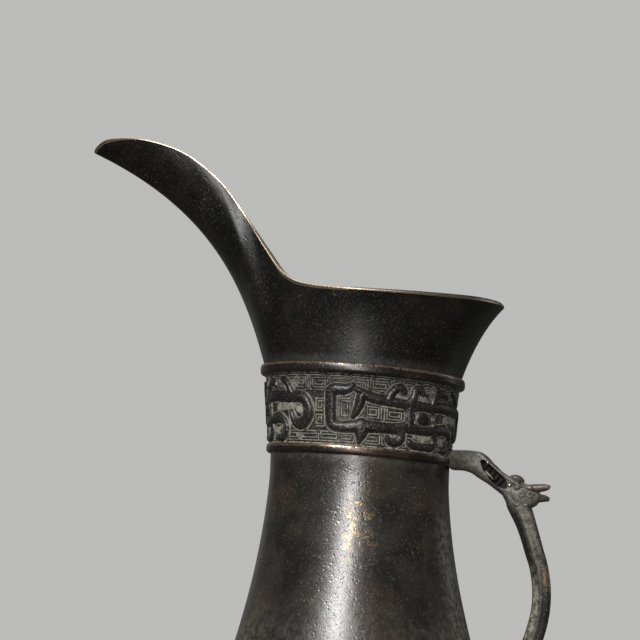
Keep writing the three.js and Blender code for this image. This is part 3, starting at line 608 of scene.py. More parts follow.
# Low smooth pads in the small pockets between the dragon's parts
PADS = [
    [(23.2, 18.2, 0.4), (24.6, 17.3, 0.5), (26.6, 16.8, 0.5), (28.3, 17.8, 0.5), (28.7, 19.6, 0.4)],
    [(33, 17.3, 0.8), (35, 17, 1.1), (37.2, 17.4, 0.8)],
    [(31.2, 4.8, 0.7), (34.5, 4.2, 1), (38.2, 4.9, 0.7)],
    [(42.6, 4.6, 0.9), (46, 4.2, 1.1), (48, 5, 0.8)],
    [(22.4, 3.9, 0.4), (23.6, 4.1, 0.6)],
    [(46, 11.6, 1.3), (51, 11.8, 1.1), (55, 11.7, 1), (57.6, 10.6, 1.2)],
]
EYE_CENTRE = (34.4, 10.8)
EYE_RING = [(30.6, 8.2), (38.4, 8), (39.4, 10.8), (38.4, 13.6), (30.8, 13.7), (30.1, 11)]
EYE_HALF = (3.1, 2.2)
EYE_HEIGHT = 1.3
EYE_SLIT_HALF = 1.5
EYE_RING_HALF = 0.45
EYE_RING_HEIGHT = 0.8

# Fields of square spirals as (from, to, bottom, top)
TOP_EDGES = (0.7, 7.9, 14.2, 21.9, 29.7, 38.2, 43.6, 49, 55.7, 61.3, 68.6)
FOOT_EDGES = (4.9, 9.9, 13.1, 18.8, 26, 33, 40, 45.3, 50.5, 57.1, 65.3, 72.8)
TOP_CELLS = [(left, right, 17, 22.7) for left, right in zip(TOP_EDGES, TOP_EDGES[1:])]
FOOT_CELLS = [(left, right, 0.6, 4.5) for left, right in zip(FOOT_EDGES, FOOT_EDGES[1:])]
BODY_CELLS = [
    (3.9, 8.5, 8.1, 15.5), (12.5, 19, 8.2, 14.3), (19.2, 27, 8.2, 14.1), (63.5, 67.3, 5.2, 9.8),
    (63.5, 67.3, 10.3, 15.1),
]
GRAIN_STEP = 0.14
along = np.linspace(0, PANEL_LENGTH, round(PANEL_LENGTH / GRAIN_STEP))
upward = np.linspace(0, BAND_HEIGHT, round(BAND_HEIGHT / GRAIN_STEP))


def rolled(rows, ring=True):
    """Closed skin over rows of points that all go once round. A flat grid is rolled up, its side
    edges are welded, and its ends are joined to a ring or filled."""
    rows = np.array(rows)
    count, around, _ = rows.shape
    stacked = np.concatenate([rows, rows[:1]]) if ring else rows
    stacked = np.concatenate([stacked, stacked[:, :1]], axis=1)
    work = bmesh.new()
    bmesh.ops.create_grid(work, x_segments=around, y_segments=len(stacked) - 1, size=1)
    for point, place in zip(work.verts, stacked.reshape(-1, 3)):
        point.co = place
    bmesh.ops.remove_doubles(work, verts=work.verts, dist=1e-5)
    if not ring:
        bmesh.ops.holes_fill(work, edges=[line for line in work.edges if line.is_boundary], sides=0)
    bmesh.ops.recalc_face_normals(work, faces=work.faces)
    return work


def depth_in(lines, margin):
    """How deep each point of a panel lies inside the lines of (along, up, half width) points.
    Outside it is below zero, down to the margin."""
    depth = np.full((len(along), len(upward)), -float(margin))
    for line in lines:
        for start, end in zip(line, line[1:]):
            reach = max(start[2], end[2]) + margin
            left, right = sorted((start[0], end[0]))
            below, top = sorted((start[1], end[1]))
            columns = slice(*np.searchsorted(along, (left - reach, right + reach)))
            rows = slice(*np.searchsorted(upward, (below - reach, top + reach)))
            run, rise = end[0] - start[0], end[1] - start[1]
            across = along[columns, None] - start[0]
            above = upward[None, rows] - start[1]
            share = np.clip((across * run + above * rise) / max(run * run + rise * rise, 1e-9), 0, 1)
            off = np.hypot(across - share * run, above - share * rise)
            inside = start[2] + share * (end[2] - start[2]) - off
            depth[columns, rows] = np.maximum(depth[columns, rows], inside)
    return depth


def square_spiral(cell, flipped):
    """Line of a square spiral that winds inwards in a field, at the pitch of the threads."""
    left, right, bottom, top = cell
    inset = THREAD_PITCH / 2
    low = np.array([left + inset, bottom + inset])
    high = np.array([right - inset, top - inset])
    points = [(low[0], low[1])]
    while (high - low).min() > THREAD_PITCH * 0.5:
        points += [(high[0], low[1]), (high[0], high[1]), (low[0], high[1])]
        low[1] += THREAD_PITCH
        points.append((low[0], low[1]))
        low[0] += THREAD_PITCH
        high -= THREAD_PITCH
    if flipped:
        points = [(left + right - x, bottom + top - y) for x, y in points]
    return [(x, y, THREAD_HALF) for x, y in points]


def blurred(field, times_over):
    """Soft copy of a panel's field, which repeats round the neck."""
    for _ in range(times_over):
        field = (field + np.roll(field, 1, axis=0) + np.roll(field, -1, axis=0)) / 3
        edge = np.pad(field, ((0, 0), (1, 1)), mode="edge")
        field = (edge[:, :-2] + edge[:, 1:-1] + edge[:, 2:]) / 3
    return field


# How deep each point lies inside the creature, its neighbours on the next panels and its eye
dragon_lines = [drawn_curve(line, 5) + np.array([0, 0, CREATURE_SWELL]) for line in DRAGON.values()]
neighbour = [line - np.array([PANEL_LENGTH, 0, 0]) for line in dragon_lines]
neighbour += [line + np.array([PANEL_LENGTH, 0, 0]) for line in dragon_lines]
dragon = depth_in(dragon_lines + neighbour, 2)
eye_line = drawn_curve([(*point, EYE_RING_HALF) for point in EYE_RING], 5, closed=True)
eye_ring = depth_in([np.vstack([eye_line, eye_line[:1]])], 2)
offset_along = along[:, None] - EYE_CENTRE[0]
offset_up = upward[None, :] - EYE_CENTRE[1]
eyeball = 1 - (offset_along / EYE_HALF[0]) ** 2 - (offset_up / EYE_HALF[1]) ** 2
slit_ends = (EYE_CENTRE[0] - EYE_SLIT_HALF, EYE_CENTRE[0] + EYE_SLIT_HALF)
eye_slit = depth_in([[(end, EYE_CENTRE[1], 0.25) for end in slit_ends]], 1)
figure = np.maximum(dragon, np.maximum(eye_ring, np.where(eyeball > -0.4, 0.1, -2)))

# The ground: spirals, pads, a thread round the creature and one along each edge
threads = []
for number, (left, right, bottom, top) in enumerate(TOP_CELLS + FOOT_CELLS + BODY_CELLS):
    for shift in (0, -PANEL_LENGTH):
        threads.append(square_spiral((left + shift, right + shift, bottom, top), number % 2 == 1))
ground_threads = np.where(figure < -GROUND_GAP, depth_in(threads, 1), -1)
pads = np.where(figure < -0.25, depth_in([drawn_curve(pad, 5) for pad in PADS], 1), -1)
contour = CONTOUR_HALF - np.abs(figure + CONTOUR_GAP)
edges = (0.1, BAND_HEIGHT - 0.1)
borders = depth_in([[(0, edge, 0.3), (PANEL_LENGTH, edge, 0.3)] for edge in edges], 1)
threads_and_pads = np.maximum(np.maximum(ground_threads, pads), np.maximum(contour, borders))
thread = stepped(threads_and_pads, *THREAD_EDGE)

chance = np.random.default_rng(11)


def unevenness(passes):
    """Random field of a panel, blurred that often, around 0 and with a spread of 1."""
    field = blurred(chance.random(thread.shape), passes)
    return (field - field.mean()) / field.std()


def domed(share):
    """Quarter-round rise from 0 at an edge to 1 where the share reaches 1."""
    return np.sqrt(1 - (1 - np.clip(share, 0, 1)) ** 2)


uneven = unevenness(14)
rough = unevenness(2)
thread *= np.clip(0.92 + 0.16 * uneven, 0.35, 1.1)

# Heights over the ground, in millimetres
swell = CREATURE_HEIGHT * domed(dragon / CREATURE_SHOULDER)
ring_rise = EYE_RING_HEIGHT * domed(eye_ring / EYE_RING_HALF)
ball_rise = EYE_HEIGHT * np.sqrt(np.clip(eyeball, 0, 1)) - 0.5 * stepped(eye_slit, -0.1, 0.1)
high_relief = np.maximum(np.maximum(swell, ring_rise), np.where(eyeball > 0, ball_rise, 0))
relief = np.maximum(high_relief, THREAD_HEIGHT * thread)
relief = relief + CAST_ROUGHNESS[0] * rough + CAST_ROUGHNESS[1] * uneven
creature = stepped(high_relief, 0.12, 0.5)
hollow = blurred(relief, 6) - relief


def band_field(field):
    """A panel's field as a share at each point of its mesh, and nothing on the inner faces."""

    def nearest(share, count):
        """Nearest step of a grid."""
        return np.clip(np.rint(share * (count - 1)), 0, count - 1).astype(int)

    def at_places(at):
        """The field where each point lies on its panel."""
        turn = (np.arctan2(at[:, 1], at[:, 0]) - PANEL_START) % (2 * math.pi / PANELS)
        column = nearest(turn * MEASURE_RADIUS / PANEL_LENGTH, len(along))
        row = nearest((at[:, 2] - BAND_LOW) / BAND_HEIGHT, len(upward))
        return np.where(from_axis(at) > RING_BORE + 0.5, field[column, row], 0)

    return at_places


# Dust lies on the threads and in the creature's creases and eye socket. Less dust on the top row's
# threads is painted shade from the upper ring's shadow.
out_of_ring_shadow = 0.62 + 0.38 * stepped(upward, 17.4, 15.6)[None, :]
thread_dust = (1 - creature) * (0.04 + 0.86 * stepped(relief, 0.14, 0.38)) * out_of_ring_shadow
thread_dust += 0.2 * creature * stepped(hollow, 0.06, 0.3)
eye_socket = 0.6 * ((eyeball > -0.4) & (eyeball < 0.06) & (eye_ring < -0.1))
# Bare metal on the crests of the creature and of the threads, partly rubbing and partly painted highlight
crest_rub_and_highlight = 0.42 * creature * stepped(-hollow, 0.1, 0.34)
crest_rub_and_highlight += 0.1 * (1 - creature) * stepped(-hollow, 0.12, 0.2)

RELIEF_COLOURS = [
    (0.005, 0.0052, 0.0054),
    (0.013, 0.0125, 0.012),
    (0.032, 0.022, 0.016),
    (0.27, 0.26, 0.21),
    (0.5, 0.44, 0.33),
]
relief_bronze = bronze(
    "relief_bronze", RELIEF_COLOURS, 1.3, 0.24, 0.34, 1.45, metal=0.15, blush=0.4, fleck=0.15
)

turn_steps = along / MEASURE_RADIUS
seam = PANEL_SEAM / MEASURE_RADIUS
turn_steps = np.clip(turn_steps, seam, turn_steps[-1] - seam)
ground_radius = GROUND_LOW + (GROUND_HIGH - GROUND_LOW) * upward / BAND_HEIGHT
for panel in range(PANELS):
    sections = []
    for turn, heights in zip(turn_steps + PANEL_START + panel * 2 * math.pi / PANELS, relief):
        reach = np.append(ground_radius + heights, [RING_BORE, RING_BORE])
        level = BAND_LOW + np.append(upward, [BAND_HEIGHT, 0])
        sections.append(np.stack([reach * math.cos(turn), reach * math.sin(turn), level], axis=1))
    name = f"neck_band_panel_{panel + 1}"
    marks = {
        "worn": band_field(crest_rub_and_highlight),
        "dusty": band_field(np.maximum(thread_dust, eye_socket)),
    }
    skin = rolled(sections, ring=False)
    made_piece(name, skin, relief_bronze, "relief_bronze", ["neck_band"], sloped=True, crease=75, **marks)

# Collar and spout: one bronze casting, a flared collar whose rim sweeps up into a long open
# spout. The lip is rounded and rubbed to bare metal, which is partly painted highlight, and the wall
# thins towards it. The patina is darkened as painted shade.
COLLAR_FOOT = 203.4
COLLAR_FOOT_RADIUS = 33.6
COLLAR_BACK = 47.7
COLLAR_SIDE = 38
SPOUT_REACH = 96.7
SPOUT_RISE = 74
COLLAR_WALL = 3
LIP_WALL = 2
FOOT_WALL = 6.4
LIP_ROUND = 0.55
FOOT_LIFT = 0.27
FOOT_LEAN = 0.21
FOOT_LEAN_SWING = 0.11
STEPS_PER_STATION = 9
CLIMB_STEPS = 33
# Turn from the handle in degrees, then shares of reach, width and rise for the rim and the shoulder
RIM_STATIONS = [
    (0, (1, 0, 0.355), (0.853, 0, 0.253)),
    (30, (0.83, 0.566, 0.343), (0.711, 0.489, 0.245)),
    (60, (0.474, 0.882, 0.33), (0.413, 0.771, 0.235)),
    (90, (0.006, 1, 0.325), (-0.003, 0.908, 0.221)),
    (115, (-0.176, 0.86, 0.338), (-0.168, 0.8, 0.223)),
    (130, (-0.27, 0.65, 0.391), (-0.264, 0.635, 0.26)),
    (142, (-0.352, 0.45, 0.53), (-0.342, 0.45, 0.337)),
    (152, (-0.43, 0.36, 0.685), (-0.42, 0.388, 0.45)),
    (161, (-0.53, 0.345, 0.838), (-0.462, 0.366, 0.6)),
    (168, (-0.662, 0.33, 0.953), (-0.483, 0.332, 0.662)),
    (174, (-0.822, 0.285, 1.003), (-0.506, 0.263, 0.679)),
    (178, (-0.95, 0.168, 0.99), (-0.533, 0.147, 0.7)),
    (180, (-1, 0, 0.949), (-0.545, 0, 0.709)),
]


def collar_place(shares, side):
    """Point of the right or left half, from its shares of the collar's reach, width and rise."""
    reach, aside, rise = shares
    return (
        reach * (COLLAR_BACK if reach > 0 else SPOUT_REACH),
        side * aside * COLLAR_SIDE,
        COLLAR_FOOT + rise * SPOUT_RISE,
    )


def once_round(column):
    """Smooth closed line through the stations' rim points or shoulder points."""
    right = [collar_place(station[column], 1) for station in RIM_STATIONS]
    left = [collar_place(station[column], -1) for station in RIM_STATIONS[-2:0:-1]]
    return drawn_curve(right + left, STEPS_PER_STATION, closed=True)


station_turns = [station[0] for station in RIM_STATIONS]
station_turns += [360 - turn for turn in station_turns[-2::-1]]
turns = np.interp(
    np.arange((len(station_turns) - 1) * STEPS_PER_STATION) / STEPS_PER_STATION,
    np.arange(len(station_turns)),
    np.radians(station_turns),
)
rim = once_round(1)
shoulder = once_round(2)
outward = np.stack([np.cos(turns), np.sin(turns), np.zeros(len(turns))], axis=1)
foot = outward * COLLAR_FOOT_RADIUS
foot[:, 2] = COLLAR_FOOT - 0.1
lift = FOOT_LIFT * np.linalg.norm(rim - foot, axis=1)
lean = FOOT_LEAN + FOOT_LEAN_SWING * np.cos(2 * turns)
start = foot + outward * (lean * lift)[:, None]
start[:, 2] += lift


def collar_row(climb):
    """Outer face, its upward direction and its outward direction, at one share of the climb."""
    down = 1 - climb
    at = down**3 * foot + 3 * down**2 * climb * start + 3 * down * climb**2 * shoulder + climb**3 * rim
    up = down**2 * (start - foot) + 2 * down * climb * (shoulder - start) + climb**2 * (rim - shoulder)
    up /= np.linalg.norm(up, axis=1)[:, None]
    across = np.roll(at, -1, axis=0) - np.roll(at, 1, axis=0)
    out = np.cross(across, up)
    out /= np.linalg.norm(out, axis=1)[:, None]
    return at, up, out


climbs = 1 - np.linspace(1, 0, CLIMB_STEPS, endpoint=False) ** 1.35
rows = [collar_row(climb)[0] for climb in climbs]
lip, lip_up, lip_out = collar_row(1)
lip_centre = lip - LIP_ROUND * (lip_up + lip_out)
inner_centre = lip - LIP_ROUND * lip_up - (LIP_WALL - LIP_ROUND) * lip_out
for centre, first in ((lip_centre, 0), (inner_centre, math.pi / 2)):
    for a in np.linspace(first, first + math.pi / 2, 6):
        rows.append(centre + LIP_ROUND * (math.cos(a) * lip_out + math.sin(a) * lip_up))
for climb in climbs[:0:-1]:
    at, _, out = collar_row(climb)
    wall = COLLAR_WALL + (LIP_WALL - COLLAR_WALL) * climb
    wall += (FOOT_WALL - COLLAR_WALL) * stepped(climb, 0.22, 0)
    rows.append(at - wall * out)
for radius, height in (
    (NECK_BORE, COLLAR_FOOT),
    (NECK_BORE, COLLAR_FOOT - SPIGOT_HEIGHT),
    (SPIGOT_RADIUS, COLLAR_FOOT - SPIGOT_HEIGHT),
    (SPIGOT_RADIUS, COLLAR_FOOT - 0.1),
):
    ring = outward * radius
    ring[:, 2] = height
    rows.append(ring)

# Patina colours darkened as painted shade, for a collar and spout that take less light than the bowl
SHADED_COLLAR_COLOURS = [
    (0.0025, 0.0024, 0.0021),
    (0.006, 0.0056, 0.0047),
    (0.02, 0.012, 0.008),
    (0.08, 0.077, 0.066),
    (0.62, 0.49, 0.34),
]
shaded_collar_bronze = bronze("shaded_collar_bronze", SHADED_COLLAR_COLOURS, 1.0, 0.6, 0.34, 1.4, 0.12, blush=0.55, fleck=0.1)


def lip_wear_and_highlight(at):
    """Bare metal on the outer edge of the lip, broader along the spout, partly wear and partly painted
    highlight, and patina on the rest.
    """
    nearest = np.full(len(at), 1e9)
    edge = lip - 0.25 * LIP_ROUND * (lip_up + lip_out)
    for point in edge:
        nearest = np.minimum(nearest, ((at - point) ** 2).sum(axis=1))
    breadth = 0.5 + 0.35 * stepped(at[:, 0], 5, -15)
    return 1.2 * stepped(np.sqrt(nearest), breadth, 0.4 * breadth)


def collar_dust(at):
    """A little dust in the corner above the upper ring."""
    return 0.3 * stepped(at[:, 2], 207, 203.8)


marks = {"worn": lip_wear_and_highlight, "dusty": collar_dust}
made_piece("collar_and_spout", rolled(rows), shaded_collar_bronze, "patinated_bronze", sloped=True, **marks)

# Neck bracket: cast bronze arm with a flared root that laps over the lower ring, and a tenon through
# the neck wall. It is smooth and grey-brown, with dust along its root.
HANDLE_COLOURS = [
    (0.034, 0.032, 0.029),
    (0.076, 0.069, 0.059),
    (0.09, 0.062, 0.042),
    (0.25, 0.24, 0.2),
    (0.56, 0.5, 0.42),
]
handle_bronze = bronze(
    "handle_bronze", HANDLE_COLOURS, 0.8, 0.95, 0.42, 1.5, blush=0.45, fleck=0.25, even_dust=0.15
)
BRACKET_SECTIONS = [
    (31.3, 174.8, 3.1, 9.9, 1), (31.9, 174.9, 3.3, 8.9, 1), (32.8, 174.95, 3.4, 7.3, 1),
    (34.2, 175, 3.45, 5.4, 0.7), (36, 174.95, 3.55, 4.4, 0.3), (38, 174.65, 3.75, 4, 0),
    (39.3, 174.3, 3.85, 3.9, 0),
]
RING_WRAP = 31.3
ROUND_SIDES = 40


def bar(sections, squareness=2.6, sides=ROUND_SIDES, steps=6):
    """Closed bar in the handle's plane. A section is (out, height, half depth, half width) and may
    end with how far it curves with the neck. Squareness 2 is an ellipse, and more is boxier."""
    line = drawn_curve(sections, steps)
    around = np.linspace(0, 2 * math.pi, sides, endpoint=False)
    power = 2 / squareness
    deep = np.sign(np.sin(around)) * np.abs(np.sin(around)) ** power
    wide = np.sign(np.cos(around)) * np.abs(np.cos(around)) ** power
    rows = []
    for place, way in zip(line, headings(line)):
        off = deep * place[2]
        across = wide * place[3]
        out = place[0] - way[1] * off
        if len(place) > 4:
            out += place[4] * (np.sqrt(RING_WRAP**2 - across**2) - RING_WRAP)
        rows.append(np.stack([out, across, place[1] + way[0] * off], axis=1))
    return rolled(rows, ring=False)


def root_dust(at):
    """Dust along the root and a trace everywhere."""
    return 0.2 * stepped(from_axis(at), 33.4, 31.6) + 0.25


bracket = bar(BRACKET_SECTIONS, 3.2)
made_piece("neck_bracket", bracket, handle_bronze, "handle_bronze", dusty=root_dust, crease=60)

# Beast head: cast bronze, open-jawed, with a long slot for a mouth, ribs for teeth, eyes, a knob on
# the crown and a mane in low relief. It is modelled in clay-like lumps and joined by one skin.
HEAD_VOXEL = 0.16
MUZZLE = [
    (37.9, 174.7, 3.7, 3.85), (39.2, 174.35, 3.85, 3.9), (40.8, 173.5, 3.9, 3.9),
    (42.8, 171.8, 3.6, 3.9), (45.3, 169.9, 3.2, 3.9), (48, 167.7, 3, 3.9), (50.3, 165.8, 2.8, 4.2),
    (52, 164.4, 2.5, 4.4),
]
UPPER_JAW = [
    (38.9, 177, 1.2, 3.4), (40.8, 176.6, 1.3, 3.6), (42.6, 175.1, 1.1, 3.9),
    (45.2, 172.75, 0.85, 4.1), (48, 170.7, 0.8, 4.2), (50.6, 169, 1, 4.4), (53.4, 167.2, 1.4, 4.8),
]
SLOT = [
    (41, 174.9, 0.35, 8), (41.9, 174, 1.1, 8), (43.1, 172.4, 1.7, 8), (45.1, 170.2, 1.95, 8),
    (47.2, 168.3, 1.95, 8), (49, 166.9, 1.5, 8), (49.9, 166.2, 0.8, 8),
]
PALATE = [
    (40.4, 175.2, 1.2, 0.9), (43.4, 172, 3, 0.9), (47.4, 168.2, 3, 0.9), (51.2, 165.6, 2.2, 1.4),
]
CRANIUM = [
    (50.2, 166.4, 1.1, 3.2), (51.6, 165.4, 3, 4.7), (53.6, 164.2, 4.2, 5.5), (56, 163.4, 4.3, 5.7),
    (58.2, 163.3, 3.6, 5.1), (60, 163.7, 2.5, 4.2), (61.2, 164, 1.2, 3),
]
CHEEK = [
    (49.2, 164.4, 1.2, 3.8), (51.6, 162.8, 2.7, 4.3), (53.6, 160.6, 3.5, 4.4),
    (55.2, 158.4, 3.5, 4.4),
]
LOWER_PRONG = [
    (57.5, 162.6, 1.9, 3.6), (60.6, 163, 1.45, 3.2), (62.8, 163, 1.15, 2.6),
    (64.3, 162.6, 0.6, 1.6),
]
KNOB = [
    (50.4, 169, 0.6, 1.2), (51.5, 169.5, 1.05, 1.9), (53.1, 169.6, 1.15, 2.2), (54.6, 168.9, 1, 2),
    (55.5, 168.1, 0.6, 1.1),
]
# Places on the head are out and height, and the spots that shine, partly painted highlight, also have a
# radius
TOOTH_PLACES = [(42.6, 172.9), (43.8, 171.6), (45.1, 170.3), (46.4, 169), (47.7, 167.8)]
TOOTH_RADII = (0.36, 2.2, 2.2)
JAW_TILT = math.radians(44)
# Ends of the mouth, gums, eyes, brows and ears, as place, radii and tilt in degrees
FLANK_LUMPS = [
    (43.3, 3.9, 174.2, (0.6, 0.6, 0.6), 0),
    (50.7, 4.4, 166.9, (0.7, 0.7, 0.6), 0),
    (43.5, 3.5, 170.4, (0.55, 0.8, 1.7), -42),
    (44.3, 3.5, 169.7, (0.45, 0.8, 1.5), -42),
    (53.2, 5, 166.1, (1.05, 0.9, 0.85), 0),
    (53.4, 4.9, 167.2, (1.9, 0.9, 0.5), 25),
    (57.2, 4.6, 166.2, (1.9, 1, 0.75), 8),
]
CURL_PLACES = [(54.9, 163.9), (57.6, 163.8), (53.4, 161), (56.2, 160.9)]
CURL_RADIUS = 1.15
CURL_STEPS = 9
BEAD_RADII = (0.4, 0.42, 0.4)
SHINE_PLACES = [(43.3, 174.2, 0.7), (50.7, 166.9, 0.75), (57.4, 166.4, 0.6)]


def scratch_object(name, work):
    """A mesh as an object for a while, so that modifiers can shape it."""
    mesh = bpy.data.meshes.new(name)
    work.to_mesh(mesh)
    work.free()
    holder = bpy.data.objects.new(name, mesh)
    bpy.context.scene.collection.objects.link(holder)
    return holder


def shaped(holder, *tools):
    """The mesh that an object's modifiers make of it. The object and its tools are removed."""
    bpy.context.view_layer.update()
    done = holder.evaluated_get(bpy.context.evaluated_depsgraph_get())
    work = bmesh.new()
    work.from_mesh(done.to_mesh())
    done.to_mesh_clear()
    for scrap in (holder, *tools):
        mesh = scrap.data
        bpy.data.objects.remove(scrap)
        bpy.data.meshes.remove(mesh)
    return work


def joined(parts, voxel, smooth=0):
    """One skin over overlapping closed meshes, by remeshing, in millimetres."""
    mesh = bpy.data.meshes.new("part")
    whole = bmesh.new()
    for part in parts:
        part.to_mesh(mesh)
        whole.from_mesh(mesh)
        part.free()
    bpy.data.meshes.remove(mesh)
    holder = scratch_object("parts", whole)
    skin = holder.modifiers.new("skin", "REMESH")
    skin.mode = "VOXEL"
    skin.voxel_size = voxel
    if smooth:
        soft = holder.modifiers.new("soft", "SMOOTH")
        soft.iterations = smooth
        soft.factor = 0.5
    return shaped(holder)


def cut_away(work, cutter):
    """Takes one closed mesh out of another."""
    holder = scratch_object("piece_to_cut", work)
    tool = scratch_object("cutter", cutter)
    cut = holder.modifiers.new("cut", "BOOLEAN")
    cut.operation = "DIFFERENCE"
    cut.solver = "EXACT"
    cut.object = tool
    return shaped(holder, tool)


def set_in(work, tilt, place):
    """Tips a mesh in the handle's plane and moves it to its place."""
    bmesh.ops.rotate(work, verts=work.verts, cent=(0, 0, 0), matrix=Matrix.Rotation(tilt, 3, "Y"))
    bmesh.ops.translate(work, verts=work.verts, vec=place)
    return work


def lump(out, across, height, radii, turn=0):
    """Small rounded lump with three radii, tipped in the handle's plane."""
    work = bmesh.new()
    bmesh.ops.create_icosphere(work, subdivisions=3, radius=1)
    bmesh.ops.scale(work, verts=work.verts, vec=radii)
    return set_in(work, turn, (out, across, height))


head_mass = [
    bar(sections, squareness)
    for sections, squareness in (
        (MUZZLE, 3), (UPPER_JAW, 2.8), (CRANIUM, 2.2), (CHEEK, 2.4), (LOWER_PRONG, 2.2), (KNOB, 2.1),
    )
]
head_lumps = [cut_away(joined(head_mass, HEAD_VOXEL), bar(SLOT, 2.4)), bar(PALATE, 2.6)]
for out, height in TOOTH_PLACES:
    head_lumps.append(lump(out, 0, height, TOOTH_RADII, JAW_TILT))
for side in (1, -1):
    for out, across, height, radii, tilt in FLANK_LUMPS:
        head_lumps.append(lump(out, side * across, height, radii, math.radians(tilt)))
    for out, height in CURL_PLACES:
        for step in range(CURL_STEPS):
            turn = step * 0.62 + 0.5
            reach = CURL_RADIUS * (1 - 0.07 * step)
            beyond = out + reach * math.cos(turn)
            aside = side * (5.8 - 0.05 * (beyond - 55.5) ** 2)
            aside -= side * 0.62 * max(0, 163 - height)
            head_lumps.append(lump(beyond, aside, height + reach * math.sin(turn), BEAD_RADII))


def head_wear_and_highlight(at):
    """Bright metal spots at the ends of the mouth, by the ears and beside the teeth, partly polish
    and partly painted highlight, and a little wear on the knob and the prong.
    """
    shine = np.zeros(len(at))
    for out, height, reach in SHINE_PLACES:
        near = np.hypot(at[:, 0] - out, at[:, 2] - height)
        shine = np.maximum(shine, 0.75 * stepped(near, reach, 0.35 * reach))
    teeth = np.hypot(at[:, 0] - 43.9, at[:, 2] - 170) < 2
    shine = np.maximum(shine, 0.45 * teeth * stepped(np.abs(at[:, 1]), 3.95, 4.25))
    return np.maximum(shine, 0.22 * stepped(at[:, 0], 61, 64))


def flank_dust(at):
    """Dust on the head's flanks, and none inside the mouth."""
    return 0.4 * stepped(np.abs(at[:, 1]), 2.9, 4.4) * stepped(at[:, 0], 38, 46)


def mouth_painted_shade(at):
    """Painted shade deep in the mouth slot."""
    line = np.array(SLOT)
    middle = np.interp(at[:, 0], line[:, 0], line[:, 1])
    reach = np.interp(at[:, 0], line[:, 0], line[:, 2], left=0, right=0) * 1.45
    near = stepped(np.abs(at[:, 2] - middle), reach + 0.35, reach)
    inside = (at[:, 0] > SLOT[0][0]) & (at[:, 0] < SLOT[-1][0] + 0.2)
    return inside * near * stepped(np.abs(at[:, 1]), 3.7, 3.1)


marks = {"worn": head_wear_and_highlight, "dusty": flank_dust, "painted_shade": mouth_painted_shade}
head = joined(head_lumps, HEAD_VOXEL, 2)
made_piece("beast_head", head, handle_bronze, "handle_bronze", crease=50, **marks)

# Horns: two cast bronze prongs pegged into the back of the head and splayed a little. They are browner
# than the head and rubbed at the tips.
# Out, height and half depth
HORN = [
    (55.2, 165.9, 1.25), (58, 166.1, 1.45), (60.5, 166.4, 1.3), (62.4, 166.65, 1.1),
    (63.7, 166.75, 0.8), (64.4, 166.8, 0.35),
]
HORN_COLOURS = [
    (0.04, 0.032, 0.027),
    (0.075, 0.055, 0.042),
    (0.12, 0.06, 0.04),
    (0.22, 0.19, 0.15),
    (0.5, 0.4, 0.3),
]
horn_bronze = bronze("horn_bronze", HORN_COLOURS, 0.8, 0.7, 0.4, 1.5, blush=0.8, fleck=0.2)
HORN_SPACING = 2.6
HORN_SPLAY = 0.15


def tip_wear(at):
    """Rubbed a little, and more at the tips."""
    return 0.25 * stepped(at[:, 0], 61.5, 64) + 0.15


for name, side in (("horn_right", 1), ("horn_left", -1)):
    horn = bar([(out, height, thick, thick * 0.9) for out, height, thick in HORN], 2.1, 24)
    for point in horn.verts:
        point.co.y += side * (HORN_SPACING + HORN_SPLAY * (point.co.x - HORN[0][0]))
    made_piece(name, horn, horn_bronze, "handle_bronze", worn=tip_wear)

# Strap: one bowed cast bar with rounded chamfers, tenoned into the head above and spread into a
# round pad on the belly below. A hand has rubbed the outside of the bow down to coppery metal.
STRAP_COLOURS = [
    (0.012, 0.0115, 0.011),
    (0.03, 0.0255, 0.021),
    (0.06, 0.031, 0.021),
    (0.33, 0.305, 0.24),
    (0.36, 0.24, 0.16),
]
strap_bronze = bronze(
    "strap_bronze", STRAP_COLOURS, 0.7, 0.8, 0.36, 1.5, blush=0.5, fleck=0.25, even_dust=0.1
)
STRAP_SECTIONS = [
    (51.9, 164.2, 2.6, 3.4), (53.2, 161.6, 3.5, 4.1), (54.9, 158.4, 3.6, 4.3),
    (56.4, 154.8, 3.3, 4.35), (58, 150.2, 3.12, 4.45), (59.5, 145.3, 3.05, 4.5),
    (61, 140.6, 3, 4.5), (62, 135.4, 3, 4.5), (62.35, 129.9, 3, 4.5), (61.9, 124.4, 3.05, 4.5),
    (60.7, 119, 3.1, 4.5), (58.8, 113.2, 3.1, 4.5), (55.9, 107.2, 3.1, 4.55), (52.3, 102, 3.1, 4.8),
    (48.8, 98.4, 3.1, 5.1), (46, 96.2, 2.5, 4.9), (43.6, 94.8, 1.6, 4.4),
]
PAD_RADIUS = 7.2
PAD_RISE = 3.6
PAD_SUNK = 2.2
PAD_HEIGHT = 96
PAD_SEAT = 45.3
PAD_TILT = math.radians(-16)
COPPER_HEIGHT = 136
INNER_CHAMFER = 2.1
STRAP_CROWN = 0.15
STRAP_VOXEL = 0.25
SEAT_GAP = 0.12


def both_sides(half, *between):
    """Closed outline from its right half, mirrored, with points between the halves if given."""
    mirrored = [(off, -across) for off, across in half[::-1]]
    return [mirrored[-1], *between, *half, *mirrored[:-1]]


def strap_bar():
    """Flat bar whose outer face is gently crowned and whose inner edges are chamfered."""
    line = drawn_curve(STRAP_SECTIONS, 8)
    rows = []
    for place, way in zip(line, headings(line)):
        thick, wide = place[2:]
        half = [
            (thick, 0.62 * wide), (thick * 0.78, 0.93 * wide), (thick * 0.3, wide),
            (INNER_CHAMFER - thick, wide), (-thick * 0.82, wide - INNER_CHAMFER * 0.8),
            (-thick, wide - INNER_CHAMFER - 0.4),
        ]
        ring = drawn_curve(both_sides(half, (thick + STRAP_CROWN, 0)), 4, closed=True)
        out = place[0] - way[1] * ring[:, 0]
        rows.append(np.stack([out, ring[:, 1], place[1] + way[0] * ring[:, 0]], axis=1))
    return rolled(rows, ring=False)


